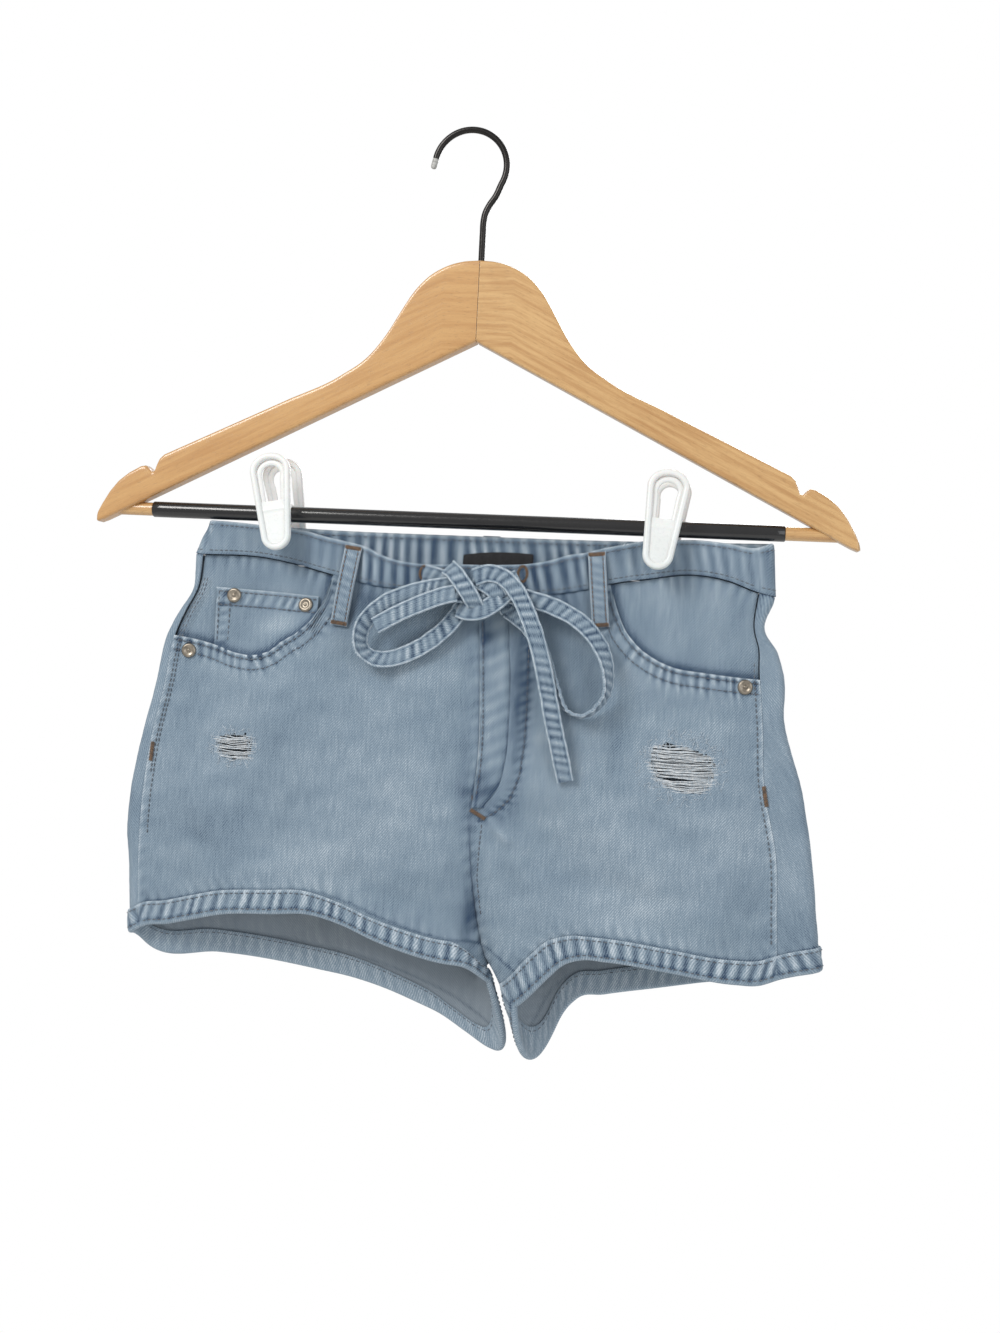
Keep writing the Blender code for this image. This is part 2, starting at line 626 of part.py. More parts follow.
def panel_grid(face, side, s, v):
    """Points and mitred normals of a panel on columns s and, for each, levels v, kept off
    the seams by a gap that is wider at the crotch point, where the cloth turns sharply."""
    moved = np.broadcast_to(s[:, None], v.shape).copy()
    crotch_gap = GAP * 0.7 + CROTCH_CLEAR * np.exp(-(((v[0] - 0.86) / 0.07) ** 2))
    moved[0] = crotch_gap / (INNER_LENGTH / INNER)
    side_length = WRAP_LENGTH / (1 - FACE) if face == "back" else FRONT_LENGTH
    moved[-1] = 1 - 1.4 * GAP / side_length
    return panel(face, side, moved, v), normal(face, side, s[:, None], v)


def columns(face):
    if face == "front":
        return stations((0, INNER, 5), (INNER, 1, 11))
    return stations((0, INNER, 10), (INNER, FACE - 0.06, 7), (FACE - 0.06, FACE, 3), (FACE, 1, 4))


def mouth_columns(side):
    """A front panel's columns, with one through each of the pocket mouth's points, and the
    column of the mouth's corner at the waist."""
    rows = POCKET_MOUTH[side]
    inside = np.abs(rows["x"]) < 150
    at = find("front", side, rows["x"][inside], rows["z"][inside])[0]
    plain = columns("front")
    apart = np.abs(plain[:, None] - at[None, :]).min(axis=1) > 0.02
    return np.sort(np.concatenate([plain[apart], at])), at.min()


def levels(face, side, s, top):
    """v from a panel's top edge to its hem on each column, with the hem band's own levels
    last, so that the band lies parallel to the cloth under it."""
    length = np.linalg.norm(panel(face, side, s, 1 + 0 * s) - panel(face, side, s, 0 * s), axis=-1)
    band = 1 - HEM_HEIGHT / length
    down = stations((0, 0.5, 6), (0.5, 0.93, 5), (0.93, 1, 1))
    body = top[:, None] + (band - top)[:, None] * down
    hem = band[:, None] + (1 - band)[:, None] * np.linspace(0, 1, HEM_CELLS + 1)
    return np.concatenate([body, hem[:, 1:]], axis=1), hem


def make_panels():
    """Four panels. The front ones start at the pocket mouth where it is cut out."""
    low = 0.0015
    for side, word in ((-1, "left"), (1, "right")):
        s, corner = mouth_columns(side)
        top = mouth_level(side, s)
        top[s <= corner] = 0.0
        v = levels("front", side, s, low + top)[0]
        points, normals = panel_grid("front", side, s, v)
        cloth(f"front_{word}", points, normals)
        s = columns("back")
        v = levels("back", side, s, np.full_like(s, low))[0]
        points, normals = panel_grid("back", side, s, v)
        cloth(f"back_{word}", points, normals)


def make_hems():
    """A stitched band on the outside of each panel's lower edge."""
    for face in ("front", "back"):
        for side, word in ((-1, "left"), (1, "right")):
            s = columns(face)
            v = levels(face, side, s, 0 * s)[1]
            points, normals = panel_grid(face, side, s, v)
            cloth(f"hem_{face}_{word}", points, normals, lift=DENIM + 2 * GAP)


def make_waistbands():
    for face in ("front", "back"):
        s = columns(face)
        u = np.concatenate([-s[::-1], s[1:]])
        ends = u.copy()
        ends[0], ends[-1] = -1 + 0.002, 1 - 0.002
        h = np.linspace(0.02, 1, 4)
        points = band_point(face, ends[:, None], h[None, :])
        normals = band_normal(face, u[:, None], h[None, :])
        cloth(f"waistband_{face}", points, normals, thick=BAND)


def make_facings():
    """The hip pieces behind the pocket mouths."""
    for side, word in ((-1, "left"), (1, "right")):
        mouth_x = POCKET_MOUTH[side]["x"][-1 if side < 0 else 0]
        first = float(find("front", side, mouth_x - side * 14, -264.0)[0])
        s = np.linspace(first, 0.996, 10)
        bottom = mouth_level(side, s)
        bottom = np.maximum(bottom, bottom.max() * smooth((s - first) / 0.12))
        bottom += FACING_BELOW / DROP
        v = 0.003 + bottom[:, None] * np.linspace(0, 1, 7)
        points = panel("front", side, s[:, None], v)
        normals = normal("front", side, s[:, None], v)
        cloth(f"facing_{word}", points, normals, "denim_dark", lift=-DENIM - 3 * GAP)


def make_coin_pocket():
    """It lies on the left facing, down to the pocket mouth."""
    rows = POCKET_MOUTH[-1]
    within = (rows["x"] > -146) & (rows["x"] < -85)
    x = np.concatenate([[-147], rows["x"][within], [-84.5]])
    top = ease(x, COIN_TOP["x"], COIN_TOP["z"])
    bottom = ease(x, rows["x"], rows["z"]) + 1.2
    z = top[:, None] + (bottom - top)[:, None] * np.linspace(0, 1, 5)
    s, v = find("front", -1, np.broadcast_to(x[:, None], z.shape), z)
    cloth("coin_pocket", panel("front", -1, s, v), normal("front", -1, s, v), lift=0.0)


def make_fly():
    """The strip beside the centre seam, narrowing to its foot."""
    z = np.linspace(-270, -388, 12)
    seam = ease(-z, -CENTRE_FRONT["z"], CENTRE_FRONT["x"]) + 1.0
    edge = ease(z, FLY_EDGE["z"], FLY_EDGE["x"])
    x = seam[:, None] + (edge - seam)[:, None] * np.linspace(0, 1, 4)
    s, v = find("front", 1, x, np.broadcast_to(z[:, None], x.shape))
    cloth("fly_strip", panel("front", 1, s, v), normal("front", 1, s, v), lift=DENIM + GAP)


def front_surface_y(x, z):
    """y of the outermost cloth at (x, z) on the front, band or panel."""
    side = -1 if x < BAND_MIDDLE_X else 1
    seam_z = float(ease(x, WAIST_FRONT["x"], WAIST_FRONT["z"]))
    s, v = find("front", side, x, min(z, seam_z - 0.5))
    y = float(panel("front", side, s, v)[1])
    return y - (BAND / 2 if z > seam_z - 1.5 else DENIM / 2)


def make_loops():
    """Belt loops: sewn flat at both ends, standing off the cloth between them."""
    half = LOOP_WIDTH / 2
    for word, x0, z0, x1, z1 in FRONT_LOOPS:
        t = np.linspace(0, 1, 9)
        x, z = x0 + (x1 - x0) * t, z0 + (z1 - z0) * t
        base = np.array([front_surface_y(a, b) for a, b in zip(x, z)])
        ridge = np.minimum(base, base[0] + (base[-1] - base[0]) * t)
        y = ridge - GAP - DENIM / 2 - 0.8 - 1.6 * np.sin(math.pi * t)
        along = np.array([x1 - x0, 0.0, z1 - z0]) / math.hypot(x1 - x0, z1 - z0)
        across = np.array([-along[2], 0.0, along[0]])
        middle = np.stack([x, y, z], -1)
        points = middle[:, None] + across * np.linspace(-half, half, 3)[None, :, None]
        normals = np.broadcast_to(np.array([0.0, -1.0, 0.0]), points.shape)
        cloth(f"loop_{word}", points, normals)
    t = np.linspace(0, 1, 9)
    z = -233.5 - 40.0 * t
    base = np.where(z > -256, BAND / 2 + 5.3, DENIM / 2 + 5.0 + (-256 - z) * 0.09)
    y = np.maximum(base, base[0]) + GAP + DENIM / 2 + 0.5 + 1.6 * np.sin(math.pi * t)
    middle = np.stack([np.full_like(t, 13.0), y, z], -1)
    points = middle[:, None] + np.array([1.0, 0, 0]) * np.linspace(-half, half, 3)[None, :, None]
    cloth("loop_back", points, np.broadcast_to(np.array([0.0, 1.0, 0.0]), points.shape))


def make_rivets():
    profile = [
        (0.0, 0.9), (1.0, 0.9), (1.25, 0.35), (2.6, 0.5), (3.6, RIVET_HEIGHT * 0.6),
        (RIVET_RADIUS, 0.2), (RIVET_RADIUS, 0.0), (0.0, 0.0),
    ]
    for word, side, x, z in RIVETS:
        s, v = find("front", side, x, z)
        out = normal("front", side, s, v)
        at = panel("front", side, s, v) + out * (DENIM / 2 + GAP + 0.25)
        turned(f"rivet_{word}", profile, "rivet_metal", at, tuple(out))


def make_label():
    """A blank label on the inside of the back waistband."""
    u = np.linspace(-0.115, 0.19, 7)
    x = band_point("back", u, 0.5 + 0 * u)[:, 0]
    top = 0.60 - 0.12 * ((x - 25) / 30) ** 2
    h = top[:, None] * np.linspace(1, 0.08, 3)
    points = band_point("back", np.broadcast_to(u[:, None], h.shape), h)
    normals = band_normal("back", np.broadcast_to(u[:, None], h.shape), h)
    cloth("waist_label", points, normals, "label_black", thick=0.8, lift=-BAND / 2 - GAP - 0.4)


def strap_sections(rows, per_span=2):
    """A smooth curve through a strap's rows, with the turn at each point."""
    rows = np.array(rows, float)
    knots = np.arange(len(rows), dtype=float)
    at = np.linspace(0, len(rows) - 1, per_span * (len(rows) - 1) + 1)
    return np.stack([ease(at, knots, rows[:, k]) for k in range(4)], -1)


def make_drawstring():
    """Flat straps, and the knot as one rounded block."""
    for word, rows in STRAPS.items():
        line = strap_sections(rows)
        middle, turn = line[:, :3], np.radians(line[:, 3])
        along = np.gradient(middle, axis=0)
        along /= np.linalg.norm(along, axis=-1, keepdims=True)
        front = np.array([0.0, -1.0, 0.0])
        across = np.cross(along, front)
        across /= np.linalg.norm(across, axis=-1, keepdims=True)
        out = np.cross(across, along)
        width = across * np.cos(turn)[:, None] + out * np.sin(turn)[:, None]
        face = np.cross(width, along)
        points = middle[:, None] + width[:, None] * np.array([-0.5, 0, 0.5])[None, :, None] * STRAP_WIDTH
        normals = np.broadcast_to(face[:, None], points.shape)
        cloth(f"drawstring_{word}", points, normals, thick=STRAP_THICK)
    solid = bmesh.new()
    bmesh.ops.create_uvsphere(solid, u_segments=14, v_segments=8, radius=0.5)
    for vert in solid.verts:
        squared = np.sign(vert.co) * np.abs(np.array(vert.co) * 2) ** 0.6 / 2
        vert.co = place(np.array(KNOT_CENTRE) + squared * KNOT_SIZE)
    mesh = bpy.data.meshes.new("drawstring_knot")
    solid.to_mesh(mesh)
    solid.free()
    mesh.shade_smooth()
    add("drawstring_knot", mesh, "denim")


# ---------------------------------------------------------------------------- the hanger
def make_hook():
    cx, cz = HOOK_CENTRE
    turns = np.radians(np.linspace(168, -28, 19))
    bow = [(cx + HOOK_RADIUS * math.cos(a), 0.0, cz + HOOK_RADIUS * math.sin(a)) for a in turns]
    bend = [(6.2, 0, -38.9), (3.1, 0, -43.6), (0.9, 0, -48.4), (0.1, 0, -53.0)]
    stem = [(0.0, 0, -60.0), (0.0, 0, WOOD_TOP + GAP + 0.1)]
    wire("hook", bow + bend + stem, WIRE_RADIUS, "hook_metal")
    first, second = np.array(bow[0]), np.array(bow[1])
    away = (first - second) / np.linalg.norm(first - second)
    cap = first + away * GAP
    wire("hook_tip", [cap, cap + away * 3.5, cap + away * 6.0], WIRE_RADIUS * 0.95, "white_plastic", 2)


def arm_outline(side):
    """One half of the wood: shoulder, notch, rounded end and straight lower edge."""
    x = np.array([0, 5, 10, 15, 20, 25, 30, 34, 38, 42, 46, 50, 55, 61, 69, 78, 182.0])
    top = list(zip(x, ease(x, SHOULDER["x"], SHOULDER["z"])))
    notch = [(184.5, -196.5), (186.2, -200.5), (187.2, -203.8), (189.0, -204.4), (190.8, -202.4),
             (193.0, -200.8), (196.0, -201.4)]
    end = [(203, -205.4), (209, -210.3), (214, -216.6), (218.3, -224.0), (221.3, -230.5),
           (222.2, -233.6), (220.6, -234.9), (217.0, -233.6)]
    low = [(205.0, -227.6), (0.0, -123.5)]
    return [(side * (a + 0.15), b) for a, b in top + notch + end + low]


def make_hanger():
    for side, word in ((-1, "left"), (1, "right")):
        wood = outline(f"wood_{word}", arm_outline(side), WOOD_DEPTH, "beech", edge=1.6)
        wood.location = place((0, 0, 0))
        bore = bmesh.new()
        bmesh.ops.create_cone(
            bore, cap_ends=True, segments=16, depth=0.06,
            radius1=(DOWEL_RADIUS + GAP) * 0.001, radius2=(DOWEL_RADIUS + GAP) * 0.001,
        )
        mesh = bpy.data.meshes.new(f"bore_{word}")
        bore.to_mesh(mesh)
        bore.free()
        cutter = as_cutter(add(f"bore_{word}", mesh, None, CUTTERS))
        cutter.location = place((side * (DOWEL_END + 1 - 30), 0, BAR_Z))
        cutter.rotation_euler = (0, math.pi / 2, 0)
        cut = wood.modifiers.new("Bore", "BOOLEAN")
        cut.object = cutter
    low, high = -DOWEL_END, DOWEL_END
    turned("bar_dowel", [(0, high), (DOWEL_RADIUS, high), (DOWEL_RADIUS, low), (0, low)],
           "beech", (0, 0, BAR_Z), (1, 0, 0))
    a, b = SLEEVE_ENDS
    inner = DOWEL_RADIUS + GAP
    profile = [(inner, b), (BAR_RADIUS, b), (BAR_RADIUS, a), (inner, a), (inner, b)]
    turned("bar_sleeve", profile, "black_sleeve", (0, 0, BAR_Z), (1, 0, 0))


def clip_outline():
    """A jaw seen square on, head up: round ends and a straight taper between them."""
    head, tip, length = CLIP_HEAD / 2, CLIP_TIP / 2, 57.5
    top_at, low_at = -head * 0.85, -length + tip
    up = np.radians(np.linspace(0, 180, 9))
    down = np.radians(np.linspace(180, 360, 9))
    round_top = [(head * math.cos(a), top_at + head * 0.85 * math.sin(a)) for a in up]
    round_tip = [(tip * math.cos(a), low_at + tip * math.sin(a)) for a in down]
    return round_top + round_tip


def make_clips():
    """Each clip has two tapered jaws with an oval opening near the head, leaning apart, and
    a ring that rides on the bar."""
    for word, x0, z0, x1, z1 in CLIPS:
        lean = math.atan2(x1 - x0, z0 - z1)
        for sign, jaw in ((-1, "front"), (1, "back")):
            plate = outline(f"clip_{word}_{jaw}", clip_outline(), CLIP_THICK, "white_plastic", edge=0.8)
            oval = [(4.6 * math.cos(a), -17.5 + 8.5 * math.sin(a)) for a in np.radians(np.arange(0, 360, 24))]
            cutter = as_cutter(outline(f"oval_{word}_{jaw}", oval, 20.0, None, 0.0, CUTTERS))
            slope = math.radians(CLIP_SLOPE) * sign
            tip_z = 57.5 * math.cos(math.radians(CLIP_SLOPE))
            mid_y = JAW_GRIP + CLIP_THICK / 2 + 57.5 * math.sin(math.radians(CLIP_SLOPE))
            head_at = (x1 - math.sin(lean) * tip_z, sign * mid_y, z1 + math.cos(lean) * tip_z)
            turn = Matrix.Rotation(-lean, 4, "Y") @ Matrix.Rotation(slope, 4, "X")
            for piece in (plate, cutter):
                piece.matrix_world = Matrix.Translation(place(head_at)) @ turn
            cut = plate.modifiers.new("Oval", "BOOLEAN")
            cut.object = cutter
        middle = x0 + (x1 - x0) * (z0 - BAR_Z) / (z0 - z1)
        inner, outer, half = BAR_RADIUS + GAP, BAR_RADIUS + GAP + 1.1, 6.5
        ring = [(inner, half), (outer, half), (outer, -half), (inner, -half), (inner, half)]
        turned(f"clip_{word}_ring", ring, "white_plastic", (middle, 0, BAR_Z), (1, 0, 0))


make_panels()
make_hems()
make_waistbands()
make_facings()
make_coin_pocket()
make_fly()
make_loops()
make_rivets()
make_label()
make_drawstring()
make_hook()
make_hanger()
make_clips()
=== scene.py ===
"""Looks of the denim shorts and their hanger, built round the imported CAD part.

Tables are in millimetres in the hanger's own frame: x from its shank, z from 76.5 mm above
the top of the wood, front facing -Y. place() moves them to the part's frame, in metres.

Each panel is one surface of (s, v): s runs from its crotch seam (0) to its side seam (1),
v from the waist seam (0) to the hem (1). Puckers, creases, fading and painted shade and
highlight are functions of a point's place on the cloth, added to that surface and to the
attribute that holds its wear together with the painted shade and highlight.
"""

import math

import bpy
import numpy as np
from mathutils import Matrix, Vector


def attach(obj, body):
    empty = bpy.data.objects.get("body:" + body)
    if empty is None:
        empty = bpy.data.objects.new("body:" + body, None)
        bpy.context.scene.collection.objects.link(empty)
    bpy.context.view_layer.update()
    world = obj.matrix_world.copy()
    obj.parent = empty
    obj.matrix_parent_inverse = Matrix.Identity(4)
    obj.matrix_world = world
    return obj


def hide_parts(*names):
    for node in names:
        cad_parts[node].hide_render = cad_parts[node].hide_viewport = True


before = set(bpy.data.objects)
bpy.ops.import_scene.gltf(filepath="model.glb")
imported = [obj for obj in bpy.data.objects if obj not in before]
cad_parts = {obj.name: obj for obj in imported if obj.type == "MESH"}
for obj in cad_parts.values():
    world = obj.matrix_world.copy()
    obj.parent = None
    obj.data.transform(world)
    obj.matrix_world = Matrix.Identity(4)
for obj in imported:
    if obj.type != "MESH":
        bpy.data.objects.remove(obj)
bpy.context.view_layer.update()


# ---------------------------------------------------------------- driving dimensions, mm
SHANK_X, TABLE_Z = 9.0, 2.2  # the tables' origin, seen from the hook's bearing point
DENIM = 1.2  # one layer of denim
BAND = 2.4  # waistband: two layers
GAP = 0.3  # clearance between sewn pieces
HEM_HEIGHT = 12.0
DROP = 215.0  # usual length of a panel from the waist seam to its hem
LOOP_WIDTH = 10.0
STRAP_WIDTH = 10.0

WIRE_RADIUS = 1.85
HOOK_RADIUS = 21.0  # of the wire's centre line
HOOK_CENTRE = (-9.0, -21.3)
WOOD_TOP = -76.5
BAR_Z, BAR_RADIUS = -226.2, 4.6
DOWEL_RADIUS = 3.9
SLEEVE_ENDS = (-188.5, 180.7)
DOWEL_END = 211.0

INNER, FACE = 0.2, 0.86  # s where the inner run ends, and where a back panel's wrap begins
CROTCH_V = 0.88  # the crotch point, where all four panels meet
INSEAM_END = {-1: (25.0, 1.0, -489.0), 1: (42.0, -9.0, -500.0)}


def table(names, *rows):
    """Rows of numbers as named columns."""
    return dict(zip(names.split(), np.array(rows, float).T))


# Sections of the flattened garment: silhouette x on both sides, cloth length from the fold
# to the side seam, fold radius, depth in front and behind, and how far in from the fold the
# two faces still lie together before they part over a further growth.
SECTIONS = table(
    "v left right seam_left seam_right fold front back together growth",
    (0.00, -160.0, 176.0, 6.0, 10.0, 3.2, 14.0, 5.0, 46.0, 110.0),
    (0.10, -162.0, 171.5, 5.0, 7.0, 3.3, 14.5, 6.5, 36.0, 105.0),
    (0.15, -168.5, 178.5, 6.0, 11.0, 3.4, 15.0, 7.5, 30.0, 100.0),
    (0.20, -174.0, 182.5, 7.0, 14.5, 3.6, 15.5, 8.5, 25.0, 98.0),
    (0.35, -181.0, 185.0, 8.5, 14.0, 4.0, 17.0, 12.0, 10.0, 95.0),
    (0.50, -188.5, 195.0, 10.0, 22.0, 4.4, 17.0, 15.0, 2.0, 90.0),
    (0.70, -194.0, 203.5, 12.0, 22.0, 5.0, 17.0, 18.0, 0.0, 80.0),
    (0.85, -191.5, 207.5, 10.0, 24.5, 5.5, 16.0, 19.5, 0.0, 72.0),
    (1.00, -189.0, 211.5, 10.0, 27.0, 6.0, 16.0, 20.0, 0.0, 66.0),
)
WAIST_FRONT = table(
    "x z",
    (-160, -251.5), (-118, -252), (-100, -255), (-85, -258.5), (-70, -262), (-50, -266),
    (-25, -267.5), (35, -267.5), (55, -266), (70, -263), (86, -258.5), (105, -255),
    (130, -251.5), (150, -254), (166, -259.5), (176, -262),
)
WAIST_BACK = table(
    "x z",
    (-160, -251.5), (-130, -254), (-90, -256), (100, -256), (150, -257), (176, -262),
)
HEM_FRONT = table(
    "x z",
    (-189, -475), (-181, -470), (-165, -467), (-150, -463), (-130, -458), (-100, -455.5),
    (-78, -454.5), (-60, -459), (-40, -467), (-20, -473), (0, -477), (14, -478),
    (50, -491), (60, -481), (67, -474), (78, -469.5), (92, -469.5), (130, -473),
    (165, -477), (178, -477), (190, -473), (211.5, -468),
)
HEM_BACK = table(
    "x z",
    (-189, -475), (-181, -482), (-140, -485.5), (-110, -488), (-80, -492), (-60, -495),
    (-40, -500), (-20, -507), (-5, -513), (10, -522), (26, -531), (60, -522), (66, -508),
    (74, -498), (90, -494), (120, -488), (150, -482), (180, -477), (211.5, -468),
)
# Centre seams from the waist to the crotch point.
CENTRE_FRONT = table(
    "v x y z",
    (0.00, 10.5, -14.0, -267.5), (0.20, 13.0, -15.3, -313.0), (0.40, 14.5, -16.7, -359.0),
    (0.55, 12.5, -16.5, -393.0), (0.70, 14.5, -13.0, -428.0), (0.80, 18.0, -7.0, -454.0),
    (0.88, 22.0, 0.0, -474.0),
)
CENTRE_BACK = table(
    "v x y z",
    (0.00, 13.0, 5.0, -256.0), (0.25, 13.5, 10.0, -318.0), (0.50, 15.0, 15.0, -385.0),
    (0.70, 18.0, 18.0, -440.0), (0.80, 22.0, 15.5, -470.0), (0.85, 24.0, 8.0, -480.0),
    (0.88, 22.0, 0.0, -474.0),
)
# Each panel's inner run: x where its face begins, the direction in which the cloth leaves
# the crotch seam, and the length of that direction's pull.
RUNS = {
    ("front", -1): table(
        "v start x y z pull",
        (0.00, -14, -1, 0, 0, 24), (0.55, -12, -1, 0, 0, 24), (0.70, -12, -1, -0.8, 0, 26),
        (0.80, -8, -0.6, -1, 0, 26), (0.88, -3, -0.5, -1, 0.1, 28), (1.00, 6, -0.8, -0.8, 0.6, 32),
    ),
    ("front", 1): table(
        "v start x y z pull",
        (0.00, 35, 1, 0, 0, 24), (0.55, 36, 1, 0, 0, 24), (0.70, 38, 1, -0.8, 0, 26),
        (0.80, 40, 0.6, -1, 0, 26), (0.88, 43, 0.4, -1, 0, 28), (1.00, 60, 0.9, -0.6, 0.7, 26),
    ),
    ("back", -1): table(
        "v start x y z pull",
        (0.00, -14, -1, 0, 0, 26), (0.50, -12, -1, 0, 0, 26), (0.70, -10, -1, 0.3, -0.2, 28),
        (0.80, -4, -0.7, 0.8, -0.3, 30), (0.88, 6, -0.1, 1, -0.6, 34), (1.00, 26, 0.3, 0.4, -1, 48),
    ),
    ("back", 1): table(
        "v start x y z pull",
        (0.00, 40, 1, 0, 0, 26), (0.50, 42, 1, 0, 0, 26), (0.70, 44, 1, 0.3, -0.2, 28),
        (0.80, 49, 0.7, 0.8, -0.3, 32), (0.88, 55, 0.2, 1, -0.6, 42), (1.00, 62, 0.05, 0.15, -1, 96),
    ),
}
# The largest soft folds, as ridges (+) or troughs (-) along a line on one face.
FOLDS = table(
    "back x0 z0 x1 z1 width height",
    (0, -152, -318, -100, -400, 26, -2.4), (0, -118, -330, -78, -420, 24, 2.2),
    (0, -66, -330, -20, -440, 24, -1.8), (0, -30, -300, 2, -420, 18, 1.6),
    (0, -150, -395, -110, -450, 18, 1.8), (0, -60, -400, -84, -455, 22, 1.4),
    (0, 26, -398, 64, -452, 12, 2.6), (0, 34, -392, 105, -440, 14, -2.2),
    (0, 60, -372, 150, -446, 16, 2.2), (0, 104, -330, 96, -400, 20, -1.8),
    (0, 150, -330, 166, -430, 22, 1.8), (0, 55, -300, 62, -370, 18, 1.6),
    (1, -120, -290, -80, -420, 28, 2.6), (1, -60, -290, -20, -440, 24, -2.4),
    (1, 70, -290, 46, -440, 24, -2.4), (1, 120, -300, 100, -440, 28, 2.4),
    (1, -150, -330, -120, -460, 22, -2.0), (1, 160, -330, 140, -450, 22, -2.0),
)
BAND_TOP_FRONT = table(
    "x z",
    (-152, -231.6), (-140, -232), (-118, -233.6), (-93, -236), (-83, -238.5), (-70, -241),
    (-57, -244), (-48, -248), (-38, -251), (-26, -252.5), (0, -252), (22, -251.3),
    (38, -250), (50, -247.5), (60, -244), (70, -242), (80, -239), (90, -236.5), (100, -234.2),
    (118, -232.6), (130, -232), (150, -233.3), (165, -235), (173.5, -232),
)
BAND_TOP_BACK = table(
    "x z", (-152, -231.6), (-120, -233), (-97, -233.8), (0, -234.2), (90, -233.8), (173.5, -232)
)
BAND_TOP_SPAN = {-1: -152.0, 1: 173.5}  # silhouette of the band's top edge
BAND_MIDDLE_X = 12.0
BAND_LEAN_OUT = 1.06  # the top edge stands a little further from the middle than the seam

POCKET_MOUTH = {
    -1: table(
        "x z",
        (-176, -299), (-168, -300), (-158, -301.5), (-145, -304.5), (-132, -308.5), (-118, -309),
        (-110, -306), (-104, -301), (-95, -295), (-86, -285.5), (-80.5, -275), (-77, -262),
    ),
    1: table(
        "x z",
        (84, -258), (87, -268), (92, -281), (100, -292), (110, -299.5), (122, -304.5),
        (137, -306.5), (155, -308), (176, -309),
    ),
}
FACING_BELOW = 16.0  # how far a facing runs on under the pocket mouth
COIN_TOP = table("x z", (-146, -270.5), (-120, -271.5), (-84, -273.5))
FLY_EDGE = table("z x", (-388, 20), (-378, 27), (-362, 31), (-345, 32), (-310, 31), (-268, 27))

# name, side, x, z of each rivet
RIVETS = (
    ("coin_outer", -1, -135.5, -275.0),
    ("coin_inner", -1, -91.5, -279.0),
    ("mouth_left", -1, -161.5, -308.5),
    ("mouth_right", 1, 162.5, -313.5),
)
# name, x and z of the top end, x and z of the bottom end
FRONT_LOOPS = (("left", -64.0, -243.5, -70.0, -290.0), ("right", 76.0, -241.5, 80.5, -284.0))

# Drawstring, a flat strap: points along its middle, and the turn of its width out of the
# plane of the front, in degrees.
STRAPS = {
    "lead_left": (
        (-21.0, -17.7, -257.8, 0), (-14.0, -19.8, -259.2, 0), (-6.0, -21.8, -261.5, 0),
        (1.0, -22.9, -264.2, 0),
    ),
    "lead_right": (
        (33.0, -17.7, -258.2, 0), (29.5, -19.8, -260.5, 0), (25.0, -21.9, -263.5, 0),
    ),
    "loop_left": (
        (1.0, -26.5, -264.0, 0), (-12.0, -27.3, -266.0, 0), (-28.0, -28.0, -270.5, 0),
        (-42.0, -28.2, -277.5, 10), (-52.5, -27.5, -289.0, 25), (-54.0, -25.5, -301.0, 45),
        (-47.0, -23.0, -307.5, 30), (-35.0, -22.3, -307.0, 10), (-20.0, -22.0, -300.0, 0),
        (-7.0, -22.0, -289.5, 0), (1.0, -22.3, -279.5, 0),
    ),
    "tail_left": (
        (0.0, -31.0, -269.0, 0), (-9.0, -31.6, -271.5, 0), (-22.0, -32.0, -277.0, 0),
        (-34.0, -31.6, -283.0, 0), (-45.0, -31.0, -289.5, 0),
    ),
    "loop_right": (
        (26.5, -24.5, -268.0, 0), (40.0, -25.5, -270.0, 0), (56.0, -26.5, -274.5, 5),
        (71.0, -27.0, -282.5, 15), (82.0, -27.5, -295.0, 30), (87.0, -27.5, -309.0, 55),
        (86.0, -26.5, -323.0, 75), (76.0, -25.5, -333.5, 82), (65.0, -24.5, -331.5, 80),
        (57.5, -24.5, -318.0, 60), (50.0, -23.0, -300.0, 40), (41.0, -21.8, -286.0, 15),
        (29.0, -22.3, -277.0, 0),
    ),
    "tail_right": (
        (10.0, -31.0, -259.8, 0), (18.0, -31.5, -257.2, 0), (27.0, -31.8, -259.5, 0),
        (35.0, -32.2, -267.5, 0), (41.0, -32.4, -278.5, 5), (46.5, -32.4, -292.0, 12),
        (51.0, -32.0, -307.0, 15), (54.5, -31.0, -322.0, 15), (58.0, -29.5, -338.0, 10),
        (62.0, -27.0, -354.0, 5), (66.0, -24.0, -371.0, 0),
    ),
}

# name, x and z of the head, x and z of the jaw's tip
CLIPS = (("left", -117.0, -191.5, -106.8, -248.5), ("right", 115.8, -193.0, 110.0, -250.5))
CLIP_HEAD, CLIP_TIP = 24.0, 17.5  # widths
CLIP_THICK = 3.2
CLIP_SLOPE = 7.0  # degrees, each jaw's lean away from the other
JAW_GRIP = 3.9  # from the middle plane to a jaw's inner face at its tip

SHOULDER = table(
    "x z",
    (0, -76.5), (10, -77.4), (20, -80.6), (30, -87.0), (38, -96.0), (45, -107.5),
    (52, -119.5), (61, -131.5), (78, -144.5), (110, -160.0), (150, -178.9), (182, -194.0),
)


# ------------------------------------------------------------------- the cloth's surfaces
def ease(at, xs, ys):
    """A cubic through a table's points, level beyond its ends."""
    at = np.clip(at, xs[0], xs[-1])
    slope = np.gradient(ys, xs)
    k = np.clip(np.searchsorted(xs, at) - 1, 0, len(xs) - 2)
    span = xs[k + 1] - xs[k]
    t = (at - xs[k]) / span
    held = (2 * t**3 - 3 * t**2 + 1) * ys[k] + (3 * t**2 - 2 * t**3) * ys[k + 1]
    return held + span * ((t**3 - 2 * t**2 + t) * slope[k] + (t**3 - t**2) * slope[k + 1])


def smooth(t):
    """0 to 1 with level ends."""
    t = np.clip(t, 0, 1)
    return t * t * (3 - 2 * t)


def level(name, v):
    """One column of the sections, at v."""
    return ease(v, SECTIONS["v"], SECTIONS[name])


